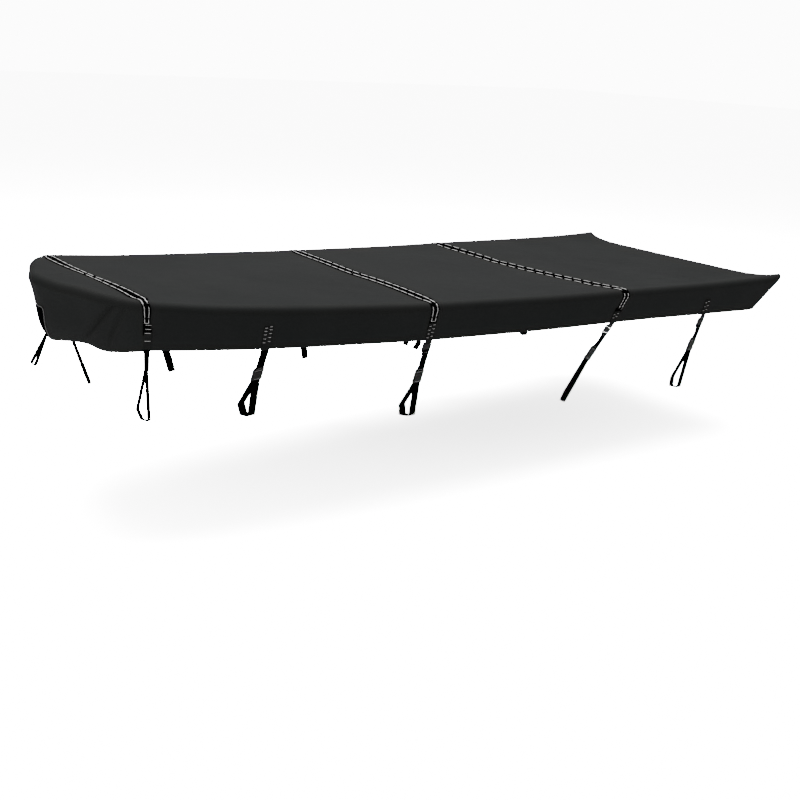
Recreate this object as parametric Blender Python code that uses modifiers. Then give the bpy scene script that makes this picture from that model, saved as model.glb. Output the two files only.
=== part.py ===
"""Fitted cover for a small open boat, pulled tight over the boat it fits and tied down.

Metres. +X towards the stern, +Y to starboard, +Z up. The origin is on the centreline, half way
along, at the underside of the top panel. The bow, at -X, is a blunt wedge and the sheer rises to it.
"""
import math

import bmesh
import bpy
from mathutils import Matrix, Vector

OBJECT_NAME = "boat_cover"

# --- cloth and webbing ---------------------------------------------------------------------------
CLOTH = 0.002               # thickness of every cloth panel
SEAM_GAP = 0.0013           # between two panels that are sewn edge to edge
LAY_GAP = 0.0005            # between a sewn-on piece and what it lies on
EDGE_RADIUS = 0.038         # turn of the top panel over the side of the boat
STERN_RAKE = 1.086          # metres forward for each metre down, along the stern edge
RAKE_RUN = 0.20             # length of side over which the sections lean into that rake

WEBBING = 0.002             # thickness of all webbing
FOLD_BACK = 0.030           # sewn end of a strap, behind the bar it is folded round

# --- shape of the cover --------------------------------------------------------------------------
# One row a cross-section, stem first. "edge" is the corner over the side of the boat, "mid" the
# centreline end of the section, "hem" the lower edge of the skirt. rise is the power by which the
# top climbs from mid to edge, belly how far the skirt stands proud of a straight line, three
# quarters of the way down.
SECTION_COLUMNS = ("edge_x", "edge_y", "edge_z", "mid_x", "mid_z", "hem_x", "hem_y", "hem_z",
                   "rise", "belly")
SECTIONS = (
    (-2.455, 0.000, 0.163, -2.300, 0.157, -2.362, 0.000, -0.187, 2.0, 0.021),
    (-2.434, 0.110, 0.157, -2.285, 0.155, -2.352, 0.095, -0.171, 2.0, 0.020),
    (-2.402, 0.205, 0.152, -2.265, 0.153, -2.326, 0.190, -0.155, 2.0, 0.017),
    (-2.364, 0.310, 0.153, -2.240, 0.151, -2.290, 0.290, -0.146, 2.0, 0.013),
    (-2.322, 0.430, 0.149, -2.212, 0.148, -2.246, 0.405, -0.160, 2.0, 0.009),
    (-2.262, 0.545, 0.142, -2.182, 0.142, -2.203, 0.512, -0.146, 2.0, 0.006),
    (-2.205, 0.618, 0.135, -2.155, 0.134, -2.160, 0.580, -0.132, 2.0, 0.004),
    (-2.135, 0.668, 0.129, -2.128, 0.125, -2.105, 0.628, -0.121, 2.0, 0.003),
    (-2.000, 0.702, 0.115, -2.000, 0.108, -1.985, 0.667, -0.125, 2.0, 0.002),
    (-1.785, 0.738, 0.094, -1.785, 0.088, -1.775, 0.706, -0.137, 2.0, 0.000),
    (-1.533, 0.776, 0.076, -1.533, 0.070, -1.525, 0.745, -0.149, 2.0, 0.000),
    (-1.072, 0.825, 0.050, -1.072, 0.046, -1.066, 0.795, -0.168, 2.0, 0.000),
    (-0.554, 0.861, 0.025, -0.554, 0.023, -0.550, 0.831, -0.189, 2.0, 0.000),
    (0.000, 0.885, 0.007, 0.000, 0.002, 0.000, 0.855, -0.204, 2.0, 0.000),
    (0.350, 0.901, -0.003, 0.350, -0.012, 0.350, 0.871, -0.211, 2.0, 0.000),
    (0.911, 0.921, -0.011, 0.911, -0.038, 0.908, 0.890, -0.217, 2.0, 0.000),
    (1.300, 0.931, -0.018, 1.300, -0.050, 1.290, 0.900, -0.225, 2.5, 0.000),
    (1.716, 0.940, -0.025, 1.716, -0.059, 1.686, 0.909, -0.237, 3.5, 0.000),
    (2.077, 0.946, -0.027, 2.077, -0.063, 2.000, 0.914, -0.246, 5.0, 0.000),
    (2.300, 0.949, -0.024, 2.300, -0.061, 2.137, 0.917, -0.250, 7.0, 0.000),
    (2.480, 0.950, -0.017, 2.480, -0.056, 2.227, 0.918, -0.250, 8.0, 0.000),
)
TOP_SHARES = (0.0, 0.35, 0.65, 0.88, 1.0)       # across the top, centreline to edge
ARC_DEGREES = (30.0, 60.0, 90.0)                # down the turned edge
SKIRT_SHARES = (0.0, 0.2, 0.4, 0.6, 0.7, 0.8, 0.9, 1.0)     # down the skirt
BELLY_PEAK = 0.75 ** 3 * 0.25                   # greatest value of share ** 3 * (1 - share)
MESH_STEPS = (              # distance along the edge up to which the mesh rows have a spacing
    (0.60, 0.050),
    (0.90, 0.025),
    (math.inf, 0.25),
)

# Pull creases on each side of the bow, from the shoulder down towards the stem. Distances run
# along the edge from the stem; depths are shares of the skirt.
CREASE_COLUMNS = ("start_run", "start_depth", "end_run", "end_depth", "depth", "width")
CREASES = (
    (0.63, 0.02, 0.35, 0.98, 0.007, 0.040),
    (0.70, 0.02, 0.52, 0.85, 0.004, 0.030),
)

# --- webbing bands and tie-downs -----------------------------------------------------------------
# x where each band crosses the port and the starboard edge, how far it drifts aft from the edge to
# the hem, how far it lies off the cloth (more on the curved bow, which it bridges), the mesh points
# across it, its width on the top, at the edge and down the skirt, and how far it bows aft between
# the centreline and each edge.
BAND_COLUMNS = ("name", "port_x", "starboard_x", "drift", "lift", "points", "width", "edge_width",
                "tail_width", "port_bow", "starboard_bow")
BANDS = (
    ("band_bow", -2.131, -2.170, 0.014, 0.0012, 6, 0.086, 0.036, 0.030, 0.025, -0.010),
    ("band_mid", -0.531, -0.424, -0.010, 0.0009, 3, 0.100, 0.054, 0.048, 0.022, 0.000),
    ("band_aft", 0.928, 0.826, -0.066, 0.0009, 3, 0.112, 0.058, 0.048, 0.018, 0.000),
)
BAND_TAIL = 0.60            # share of the skirt where the band's tail ends
BAND_STEP = 0.0028          # how much nearer the cloth a tab lies below the band's tail
BAND_NARROWS = 0.88         # share of the top's half width past which a band narrows
BAND_TAPER = 0.20           # share of the skirt by which it is down to its last width

# Ties: how far the tab's upper end lies off the cloth (three lie over a band's tail), mesh points
# across the tab, the webbing's width, x at the hem, depth share where the sewn tab starts, drift of
# the tab down the skirt, the outer lower corner of the trailer rail it goes round, how far aft of
# the loop's outer leg its inner leg meets the rail, and the distance below the hem of the adjuster
# and of the buckle (0 where there is none).
TIE_COLUMNS = ("name", "lift", "points", "width", "hem_x", "starboard_shift", "tab_start", "drift",
               "rail_x", "rail_y", "rail_z", "splay", "adjuster_at", "buckle_at")
TIES = (
    ("bow", 0.0040, 5, 0.030, -2.115, -0.010, 0.42, 0.006, -2.020, 0.400, -0.566, -0.040, 0.0, 0.0),
    ("fore", LAY_GAP, 3, 0.048, -1.527, 0.000, 0.34, -0.012, -1.473, 0.500, -0.589, -0.038, 0.0,
     0.158),
    ("mid", 0.0035, 3, 0.048, -0.541, 0.107, 0.42, -0.010, -0.515, 0.680, -0.679, -0.045, 0.016,
     0.205),
    ("aft", 0.0035, 3, 0.048, 0.862, -0.102, 0.42, -0.042, 0.640, 0.770, -0.738, 0.080, 0.026,
     0.185),
    ("stern", LAY_GAP, 3, 0.048, 1.717, 0.000, 0.40, -0.012, 1.700, 0.800, -0.775, -0.020, 0.033,
     0.183),
)
RAIL_WIDTH = 0.050
RAIL_HEIGHT = 0.065
RAIL_CORNER = 0.004         # inner radius of the webbing at the rail's corners
BOW_TAB_LENGTH = 0.150      # the bow tie's tab below the hem
BOW_TAB_END = 0.026         # its width at the end
BOW_LOOP_WIDTH = 0.020      # the narrow loop sewn behind it
BOW_HEAD_RADIUS = 0.003
SPLAY_START = 0.012         # how far below its head a loop's inner leg starts to lean
AIM_INSET = 0.012           # a strap aims this far inside the rail's outer upper corner
HEM_CLEAR = 0.004           # how far below the hem a strap is square to its own length

# --- plastic fittings ----------------------------------------------------------------------------
BAR = 0.006                 # square bar that webbing folds round
BAR_WRAP = 0.0046           # inner radius of webbing round a bar
SLOT = 0.006                # slot beside the bar
SLOT_LENGTH = 0.051
FITTING_WIDTH = 0.062
ADJUSTER_LENGTH = 0.056
ADJUSTER_BODY = 0.010       # thickness between its slots
HEAD_LENGTH = 0.034         # buckle's upper half, without its tongue
HEAD_THICKNESS = 0.012
TONGUE_LENGTH = 0.030
TONGUE_WIDTH = 0.040
TONGUE_THICKNESS = 0.006
SOCKET_LENGTH = 0.066       # buckle's lower half
SOCKET_THICKNESS = 0.014
POCKET_CLEARANCE = 0.0004   # all round the tongue, and between the two halves
BODY_INSET = 0.002          # the adjuster's middle, in from the plate's sides
OVERLAP = 0.004             # how far joined blocks run into each other
CUT_THROUGH = 0.05          # thickness of a cutter, more than any fitting
GRIP_DEPTH = 0.005          # finger notches in the socket's sides
GRIP_LENGTH = 0.018
EDGE_BREAK = 0.0015

# --- bow patch and strap -------------------------------------------------------------------------
PATCH_SHARES = (0.40, 0.48, 0.60, 0.70, 0.80, 0.90, 0.985)     # rows, as shares of the skirt
PATCH_HALF_TOP = 0.060      # half width along the bow, at the top and at the hem
PATCH_HALF_BOTTOM = 0.022
PATCH_NARROWING = 1.3       # power by which it narrows on the way down
PATCH_CORNER = 0.8          # share of its width at the very top, inside the rounded corners
PATCH_POINTS = 7
BOW_STRAP_WIDTH = 0.040
BOW_STRAP_REACH = 0.160
BOW_STRAP_END_RADIUS = 0.011
BOW_STRAP_DIRECTION = (-0.510, 0.0, -0.860)
BOW_STRAP_RETURN = 0.014    # how far along the strap its returning end stops
BOW_STRAP_SHARES = (0.70, 0.80, 0.90)
BOW_STRAP_POINTS = 5
BOW_STRAP_LIFT = 0.0038     # of its sewn tail off the side panels, over the patch

# --- mesh counts and directions ------------------------------------------------------------------
CROSS_POINTS = 3            # points across a strap
WRAP_STEPS = 7              # steps of webbing round a bar
LOOP_STEPS = 9              # steps round each corner of a loop
SHOULDER_RUN = 0.55         # past here the sections run square across the cover
BAND_SKIRT_SHARES = (0.05, 0.2, 0.4, BAND_TAIL)
TAB_SHARES = (BAND_TAIL, 0.7, 0.8, 0.9, 1.0)
UP = Vector((0.0, 0.0, 1.0))
STARBOARD = Vector((0.0, 1.0, 0.0))
PORT = Vector((0.0, -1.0, 0.0))
FORE_AND_AFT = Vector((1.0, 0.0, 0.0))


# --- helpers -------------------------------------------------------------------------------------
def table(columns, rows):
    """Turn rows of values into dictionaries with named columns."""
    return [dict(zip(columns, row)) for row in rows]


def smoothstep(share):
    share = min(max(share, 0.0), 1.0)
    return share * share * (3.0 - 2.0 * share)


def lerp(start, end, share):
    return start + (end - start) * share


class Profile:
    """The cover's outer surface, as smooth columns over the distance run along its edge."""

    def __init__(self, rows):
        mirrored = dict(rows[1], edge_y=-rows[1]["edge_y"], hem_y=-rows[1]["hem_y"])
        self.rows = [mirrored] + rows
        self.run = [0.0]
        for before, after in zip(rows, rows[1:]):
            chord = math.hypot(after["edge_x"] - before["edge_x"], after["edge_y"] - before["edge_y"])
            self.run.append(self.run[-1] + chord)
        self.run = [-self.run[1]] + self.run
        self.length = self.run[-1]

    def slope(self, column, index):
        """Slope of a column at a row, from its neighbours."""
        if index == len(self.rows) - 1:
            rise = self.rows[index][column] - self.rows[index - 1][column]
            return rise / (self.run[index] - self.run[index - 1])
        if index == 0:
            return 0.0
        before = self.run[index] - self.run[index - 1]
        after = self.run[index + 1] - self.run[index]
        back = (self.rows[index][column] - self.rows[index - 1][column]) / before
        ahead = (self.rows[index + 1][column] - self.rows[index][column]) / after
        return (back * after + ahead * before) / (before + after)

    def value(self, column, run):
        """Cubic through the table's rows at a distance along the edge."""
        index = 1
        while index < len(self.rows) - 2 and self.run[index + 1] < run:
            index += 1
        span = self.run[index + 1] - self.run[index]
        share = (run - self.run[index]) / span
        start, end = self.rows[index][column], self.rows[index + 1][column]
        first = self.slope(column, index) * span
        second = self.slope(column, index + 1) * span
        square, cube = share ** 2, share ** 3
        return ((2 * cube - 3 * square + 1) * start + (cube - 2 * square + share) * first
                + (3 * square - 2 * cube) * end + (cube - square) * second)

    def outward(self, run):
        """Level direction straight out from the edge, on the starboard side."""
        step = 0.002
        along = Vector((self.value("edge_x", run + step) - self.value("edge_x", run - step),
                        self.value("edge_y", run + step) - self.value("edge_y", run - step), 0.0))
        along.normalize()
        return Vector((-along.y, along.x, 0.0))

    def rake(self, run):
        return STERN_RAKE * smoothstep((run - self.length + RAKE_RUN) / RAKE_RUN)

    def raked(self, point, run):
        point.x += self.rake(run) * (point.z - self.value("edge_z", run))
        return point

    def top(self, run, share):
        """A point of the top, share of the way from the centreline to the turned edge."""
        corner = Vector((self.value("edge_x", run), self.value("edge_y", run), 0.0))
        rim = corner - self.outward(run) * EDGE_RADIUS
        middle = self.value("mid_z", run)
        height = self.value("edge_z", run) - middle
        point = Vector((lerp(self.value("mid_x", run), rim.x, share), rim.y * share,
                        middle + height * share ** self.value("rise", run)))
        return self.raked(point, run)

    def arc(self, run, degrees):
        """A point of the turned edge, from level (0) to upright (90)."""
        turn = math.radians(degrees)
        outward = self.outward(run)
        point = Vector((self.value("edge_x", run), self.value("edge_y", run),
                        self.value("edge_z", run)))
        point += outward * EDGE_RADIUS * (math.sin(turn) - 1.0)
        point.z += EDGE_RADIUS * (math.cos(turn) - 1.0)
        return self.raked(point, run)

    def skirt(self, run, share):
        """A point of the skirt, share of the way from the seam to the hem."""
        seam = self.arc(run, 90.0) - Vector((self.rake(run), 0.0, 1.0)) * SEAM_GAP
        hem = Vector((self.value("hem_x", run), self.value("hem_y", run), self.value("hem_z", run)))
        swell = self.value("belly", run) * share ** 3 * (1.0 - share) / BELLY_PEAK
        return lerp(seam, hem, share) + self.outward(run) * (swell - crease(run, share))


def crease(run, depth):
    """How deep the pull creases sink into the skirt at a place."""
    sunk = 0.0
    for row in table(CREASE_COLUMNS, CREASES):
        share = (depth - row["start_depth"]) / (row["end_depth"] - row["start_depth"])
        if not 0.0 < share < 1.0:
            continue
        across = (run - lerp(row["start_run"], row["end_run"], share)) / row["width"]
        sunk += row["depth"] * math.sin(math.pi * share) * math.exp(-across * across)
    return sunk


PROFILE = Profile(table(SECTION_COLUMNS, SECTIONS))


def mesh_runs():
    """Distances along the edge of the mesh rows, close together at the shoulder of the bow."""
    runs = [0.0]
    for limit, step in MESH_STEPS:
        start, end = runs[-1], min(limit, PROFILE.length)
        count = round((end - start) / step)
        runs += [lerp(start, end, (index + 1) / count) for index in range(count)]
    return runs


RUNS = mesh_runs()


def collection(name):
    group = bpy.data.collections.new(name)
    bpy.context.scene.collection.children.link(group)
    return group


def material(name, colour, roughness):
    shade = bpy.data.materials.new(name)
    shade.use_nodes = True
    shader = shade.node_tree.nodes["Principled BSDF"]
    shader.inputs["Base Color"].default_value = (*colour, 1.0)
    shader.inputs["Roughness"].default_value = roughness
    return shade


def link_object(name, mesh, shade, group):
    item = bpy.data.objects.new(name, mesh)
    group.objects.link(item)
    if not mesh.materials:
        mesh.materials.append(shade)
    return item


def grid_mesh(name, lines, facing, closed=False):
    """An open sheet through lines of points, its normals turned the way facing points.

    A closed sheet joins its last line to the first. facing is the wanted direction at the first
    face.
    """
    shape = bmesh.new()
    rows = [[shape.verts.new(point) for point in line] for line in lines]
    pairs = list(zip(rows, rows[1:]))
    if closed:
        pairs.append((rows[-1], rows[0]))
    for before, after in pairs:
        for index in range(len(before) - 1):
            shape.faces.new((before[index], before[index + 1], after[index + 1], after[index]))
    shape.faces.ensure_lookup_table()
    shape.normal_update()
    if shape.faces[0].normal.dot(facing) < 0.0:
        bmesh.ops.reverse_faces(shape, faces=shape.faces)
    mesh = bpy.data.meshes.new(name)
    shape.to_mesh(mesh)
    shape.free()
    return mesh


def thicken(item, thickness, offset):
    """Give an open sheet its thickness; offset 1 grows it outwards, -1 inwards."""
    solid = item.modifiers.new("thickness", "SOLIDIFY")
    solid.thickness = thickness
    solid.offset = offset
    solid.use_even_offset = True


def flip(points, side):
    """Move starboard points to the other side when side is -1."""
    return [Vector((point.x, point.y * side, point.z)) for point in points]


# --- cloth panels --------------------------------------------------------------------------------
def build_top(shade, group):
    lines = []
    for run in RUNS:
        line = [PROFILE.top(run, share) for share in TOP_SHARES]
        line += [PROFILE.arc(run, degrees) for degrees in ARC_DEGREES]
        for point in line:
            if run == RUNS[0]:
                point.y = 0.0
            if run == RUNS[-1]:
                point.x -= STERN_RAKE * CLOTH
        lines.append(line)
    item = link_object("top_panel", grid_mesh("top_panel", lines, UP), shade, group)
    mirror = item.modifiers.new("other side", "MIRROR")
    mirror.use_axis = (False, True, False)
    mirror.merge_threshold = 0.0001
    thicken(item, CLOTH, -1.0)


def build_side(name, side, shade, group):
    lines = []
    for run in RUNS:
        line = [PROFILE.skirt(run, share) for share in SKIRT_SHARES]
        if run == RUNS[0]:
            for point in line:
                point.y = SEAM_GAP
        lines.append(flip(line, side))
    item = link_object(name, grid_mesh(name, lines, -FORE_AND_AFT), shade, group)
    thicken(item, CLOTH, -1.0)


def build_stern(shade, group):
    """The stern panel closes the raked end, from the top's aft edge down to its own hem."""
    last = PROFILE.length
    upper = [PROFILE.arc(last, degrees) for degrees in reversed(ARC_DEGREES)]
    upper += [PROFILE.top(last, share) for share in reversed(TOP_SHARES)]
    upper += flip(reversed(upper[:-1]), -1.0)
    hem_share = PROFILE.value("hem_y", last) / PROFILE.value("edge_y", last)
    hem_z = PROFILE.value("hem_z", last)
    edge_x = PROFILE.value("edge_x", last)
    edge_z = PROFILE.value("edge_z", last)
    lines = []
    for point in upper:
        hem = Vector((0.0, point.y * hem_share, hem_z))
        line = [lerp(point, hem, share) for share in SKIRT_SHARES]
        for spot in line:
            spot.x = edge_x + STERN_RAKE * (spot.z - edge_z) + SEAM_GAP
        lines.append(line)
    item = link_object("stern_panel", grid_mesh("stern_panel", lines, FORE_AND_AFT), shade, group)
    thicken(item, CLOTH, 1.0)


def bow_line(reach, share, lift, count):
    """Points round the stem at one depth, from reach to port to reach to starboard."""
    line = []
    for index in range(count):
        run = reach * (2.0 * index / (count - 1) - 1.0)
        point = PROFILE.skirt(abs(run), share) + PROFILE.outward(abs(run)) * lift
        line += flip([point], math.copysign(1.0, run))
    return line


def build_patch(shade, group):
    """The stiff patch over the stem, wide at its top and narrow at the hem."""
    lines = []
    for share in PATCH_SHARES:
        down = (share - PATCH_SHARES[0]) / (PATCH_SHARES[-1] - PATCH_SHARES[0])
        reach = lerp(PATCH_HALF_TOP, PATCH_HALF_BOTTOM, down ** PATCH_NARROWING)
        if share == PATCH_SHARES[0]:
            reach *= PATCH_CORNER
        lines.append(bow_line(reach, share, LAY_GAP, PATCH_POINTS))
    item = link_object("bow_patch", grid_mesh("bow_patch", lines, -FORE_AND_AFT), shade, group)
    thicken(item, CLOTH, 1.0)


# --- webbing on the cloth ------------------------------------------------------------------------
def arc_normal(degrees):
    turn = math.radians(degrees)

    def normal(run):
        return PROFILE.outward(run) * math.sin(turn) + UP * math.cos(turn)
    return normal


def skirt_normal(run):
    along = PROFILE.skirt(run + 0.01, 0.5) - PROFILE.skirt(run - 0.01, 0.5)
    down = PROFILE.skirt(run, 1.0) - PROFILE.skirt(run, 0.0)
    return along.cross(down).normalized()


def faceted(point_at, want_x):
    """Where one mesh column has an x, on the straight lines between the mesh rows."""
    rows = [(run, point_at(run)) for run in RUNS if run > SHOULDER_RUN]
    for before, after in zip(rows, rows[1:]):
        if after[1].x >= want_x:
            share = (want_x - before[1].x) / (after[1].x - before[1].x)
            return lerp(before[0], after[0], share), lerp(before[1], after[1], share)
    raise ValueError("no such place on the side")


def cross_line(point_at, normal_at, centre_x, width, lift, side, count=CROSS_POINTS):
    """Points across a webbing at one mesh column, lifted off the cloth."""
    line = []
    for index in range(count):
        run, point = faceted(point_at, centre_x + side * width * (index / (count - 1) - 0.5))
        line.append(point + normal_at(run) * lift)
    return flip(line, side)


def skirt_line(share, centre_x, width, lift, side, count=CROSS_POINTS):
    return cross_line(lambda run: PROFILE.skirt(run, share), skirt_normal, centre_x, width, lift,
                      side, count)


def band_lines(row, side):
    """Cross lines of half a band, from the centreline to its tail on the skirt."""
    edge_x = row["starboard_x"] if side > 0.0 else row["port_x"]
    bow = row["starboard_bow"] if side > 0.0 else row["port_bow"]
    middle_x = (row["port_x"] + row["starboard_x"]) / 2.0
    lift, count = row["lift"], row["points"]
    lines = []
    for share in TOP_SHARES:
        narrowed = smoothstep((share - BAND_NARROWS) / (1.0 - BAND_NARROWS))
        width = lerp(row["width"], row["edge_width"], narrowed)
        centre_x = lerp(middle_x, edge_x, share) + bow * math.sin(math.pi * share)
        lines.append(cross_line(lambda run, s=share: PROFILE.top(run, s), arc_normal(0.0),
                                centre_x, width, lift, side, count))
    for degrees in ARC_DEGREES:
        lines.append(cross_line(lambda run, d=degrees: PROFILE.arc(run, d), arc_normal(degrees),
                                edge_x, row["edge_width"], lift, side, count))
    for share in BAND_SKIRT_SHARES:
        width = lerp(row["edge_width"], row["tail_width"], smoothstep(share / BAND_TAPER))
        lines.append(skirt_line(share, edge_x + row["drift"] * share, width, lift, side, count))
    return lines


def build_band(row, shade, group):
    port = [list(reversed(line)) for line in reversed(band_lines(row, -1.0))]
    lines = port[:-1] + band_lines(row, 1.0)
    item = link_object(row["name"], grid_mesh(row["name"], lines, PORT), shade, group)
    thicken(item, WEBBING, 1.0)


# --- webbing that hangs free ---------------------------------------------------------------------
def strap_frame(start, target, across):
    """Axes across, down and outward of a strap whose inner face leaves start for target.

    The bars it folds round lie in the plane outward = 0, and its inner face BAR_WRAP outside it.
    """
    down = (target - start).normalized()
    across = (across - down * across.dot(down)).normalized()
    outward = across.cross(down)
    frame = Matrix((across, down, outward)).transposed().to_4x4()
    frame.translation = start - outward * BAR_WRAP
    return frame


def round_bar(bar_at, radius, end_at):
    """Path of a strap's inner face round a bar, and back up to lie flat behind the strap."""
    rest = BAR_WRAP - LAY_GAP
    rise = radius - LAY_GAP
    reach = math.hypot(bar_at - end_at, rise)
    lean = math.degrees(math.asin(radius / reach) + math.atan2(rise, bar_at - end_at))
    path = []
    for index in range(WRAP_STEPS + 1):
        turn = math.radians((180.0 + lean) * index / WRAP_STEPS)
        path.append((bar_at + radius * math.sin(turn), BAR_WRAP - radius + radius * math.cos(turn)))
    path.append((end_at, rest))
    return path


def fold_round(bar_at, back=FOLD_BACK):
    """A sewn fold round a bar: the turn, then a short tail flat behind the strap."""
    landing = bar_at - max(back / 2.0, 1.5 * BAR_WRAP)
    return round_bar(bar_at, BAR_WRAP, landing) + [(bar_at - back, BAR_WRAP - LAY_GAP)]


def free_lines(frame, path, width, count=CROSS_POINTS):
    """Cross lines of a strap from its path in the frame's down and outward plane."""
    lines = []
    for down, outward in path:
        line = []
        for index in range(count):
            across = width * (index / (count - 1) - 0.5)
            line.append(frame @ Vector((across, down, outward)))
        lines.append(line)
    return lines


def edges_only(lines):
    return [[line[0], line[-1]] for line in lines]


def link_strap(name, lines, facing, shade, group, closed=False):
    item = link_object(name, grid_mesh(name, lines, facing, closed), shade, group)
    thicken(item, WEBBING, 1.0)


def tab_lines(row, side, hem_x):
    """Cross lines of a sewn tab, from its start on the skirt down to the hem."""
    lines = []
    for share in (row["tab_start"], *TAB_SHARES):
        lift = row["lift"] if share <= BAND_TAIL else max(LAY_GAP, row["lift"] - BAND_STEP)
        centre_x = hem_x + row["drift"] * (share - 1.0)
        lines.append(skirt_line(share, centre_x, row["width"], lift, side, row["points"]))
    return lines


def hull(points):
    """Corners of the convex outline round some points, in order."""
    points = sorted(set(points))
    halves = []
    for ordered in (points, list(reversed(points))):
        chain = []
        for point in ordered:
            while len(chain) > 1 and turn_of(chain[-2], chain[-1], point) <= 1e-12:
                chain.pop()
            chain.append(point)
        halves += chain[:-1]
    return halves


def turn_of(first, second, third):
    return ((second[0] - first[0]) * (third[1] - first[1])
            - (second[1] - first[1]) * (third[0] - first[0]))


def loop_path(frame, rail, head, head_radius):
    """Inner outline of a loop round its head and the four corners of the trailer rail."""
    circles = [(head, head_radius)]
    inverse = frame.inverted()
    inset = RAIL_CORNER
    for inward in (inset, RAIL_WIDTH - inset):
        for height in (inset, RAIL_HEIGHT - inset):
            corner = inverse @ (rail + Vector((0.0, -math.copysign(inward, rail.y), height)))
            circles.append(((corner.y, corner.z), RAIL_CORNER))
    points = []
    for centre, radius in circles:
        for index in range(LOOP_STEPS):
            turn = 2.0 * math.pi * index / LOOP_STEPS
            points.append((centre[0] + radius * math.cos(turn), centre[1] + radius * math.sin(turn)))
    return hull(points)


def build_tie(row, side, fittings, shades, group):
    """One tie-down: its sewn tab, its plastic fittings and the webbing between and below them."""
    end = "starboard" if side > 0.0 else "port"
    count, width = row["points"], row["width"]
    shift = row["starboard_shift"] if side > 0.0 else 0.0
    hem_x = row["hem_x"] + shift
    rail = Vector((row["rail_x"] + shift, side * row["rail_y"], row["rail_z"]))
    on_skirt = tab_lines(row, side, hem_x)
    start = (on_skirt[-1][0] + on_skirt[-1][-1]) / 2.0
    aim = rail + Vector((0.0, -side * AIM_INSET, RAIL_HEIGHT))
    frame = strap_frame(start, aim, Vector((side, 0.0, 0.0)))
    outward = frame.to_3x3() @ UP
    hem_line = (on_skirt[-1][-1] - on_skirt[-1][0]).normalized()
    clear = HEM_CLEAR + width / 2.0 * abs(hem_line.dot((aim - start).normalized()))

    def named(piece):
        return f"{piece}_{row['name']}_{end}"

    if not row["buckle_at"]:
        lines = on_skirt + free_lines(frame, [(clear, BAR_WRAP)], width, count)
        lines += free_lines(frame, [(BOW_TAB_LENGTH, BAR_WRAP)], BOW_TAB_END, count)
        link_strap(named("tab"), lines, outward, shades["webbing"], group)
        head = (BOW_TAB_LENGTH + LAY_GAP, BAR_WRAP - LAY_GAP - WEBBING - BOW_HEAD_RADIUS)
        path = loop_path(frame, rail, head, BOW_HEAD_RADIUS)
        link_loop(named("loop"), frame, path, BOW_LOOP_WIDTH, side * row["splay"],
                  shades["webbing"], group)
        return

    upper_bar = row["buckle_at"] + BAR / 2.0
    first_bar = upper_bar
    if row["adjuster_at"]:
        first_bar = row["adjuster_at"] + BAR / 2.0
        place(named("adjuster"), fittings["adjuster"], frame, row["adjuster_at"], group)
        last_bar = row["adjuster_at"] + ADJUSTER_LENGTH - BAR / 2.0
        head_fold = [(last_bar + upper_bar - down, out) for down, out in
                     reversed(fold_round(upper_bar))]
        lines = free_lines(frame, head_fold + fold_round(upper_bar), width)
        link_strap(named("strap"), edges_only(lines), -outward, shades["webbing"], group)
    back = min(FOLD_BACK, first_bar - clear - LAY_GAP)
    free = [(clear, BAR_WRAP)] + fold_round(first_bar, back)
    link_strap(named("tab"), on_skirt + free_lines(frame, free, width, count), outward,
               shades["webbing"], group)
    place(named("buckle_head"), fittings["head"], frame, row["buckle_at"], group)
    place(named("buckle_socket"), fittings["socket"], frame, row["buckle_at"], group)
    lower_bar = row["buckle_at"] + HEAD_LENGTH + POCKET_CLEARANCE + SOCKET_LENGTH - BAR / 2.0
    path = loop_path(frame, rail, (lower_bar, 0.0), BAR_WRAP)
    link_loop(named("loop"), frame, path, width, side * row["splay"], shades["webbing"], group)


def leans(path, splay):
    """Sideways shift of each point of a loop: none at its head, splay at its inner leg's foot."""
    start = min(down for down, _outward in path) + SPLAY_START
    foot = max(down for down, _outward in path)
    inner = min(outward for _down, outward in path)
    outer = max(outward for _down, outward in path)
    return [splay * max(down - start, 0.0) / (foot - start) * (outer - outward) / (outer - inner)
            for down, outward in path]


def link_loop(name, frame, path, width, splay, shade, group):
    lines = edges_only(free_lines(frame, path, width))
    across = frame.to_3x3() @ FORE_AND_AFT
    lines = [[point + across * lean for point in line]
             for line, lean in zip(lines, leans(path, splay))]
    middle = sum((line[0] + line[1] for line in lines), Vector()) / (2.0 * len(lines))
    first = (lines[0][0] + lines[1][1]) / 2.0
    link_strap(name, lines, first - middle, shade, group, closed=True)


def build_bow_strap(shade, group):
    """Webbing sewn to the foot of the patch, that runs out, round a bar and back."""
    lines = [bow_line(BOW_STRAP_WIDTH / 2.0, share, BOW_STRAP_LIFT, BOW_STRAP_POINTS)
             for share in BOW_STRAP_SHARES]
    start = (lines[-1][0] + lines[-1][-1]) / 2.0
    frame = strap_frame(start, start + Vector(BOW_STRAP_DIRECTION), STARBOARD)
    path = round_bar(BOW_STRAP_REACH, BOW_STRAP_END_RADIUS, BOW_STRAP_RETURN)
    lines += free_lines(frame, [(HEM_CLEAR, BAR_WRAP)] + path, BOW_STRAP_WIDTH, BOW_STRAP_POINTS)
    link_strap("bow_strap", lines, -FORE_AND_AFT, shade, group)


# --- plastic fittings ----------------------------------------------------------------------------
def block(name, size, centre, group, edge_break=0.0):
    """A box, with its edges broken where a width is given."""
    bpy.ops.mesh.primitive_cube_add(size=1.0, location=centre)
    item = bpy.context.active_object
    item.name = name
    item.scale = size
    bpy.ops.object.transform_apply(location=False, rotation=False, scale=True)
    for holder in list(item.users_collection):
        holder.objects.unlink(item)
    group.objects.link(item)
    if edge_break:
        bevel = item.modifiers.new("edge break", "BEVEL")
        bevel.width = edge_break
        bevel.segments = 1
    return item


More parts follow.
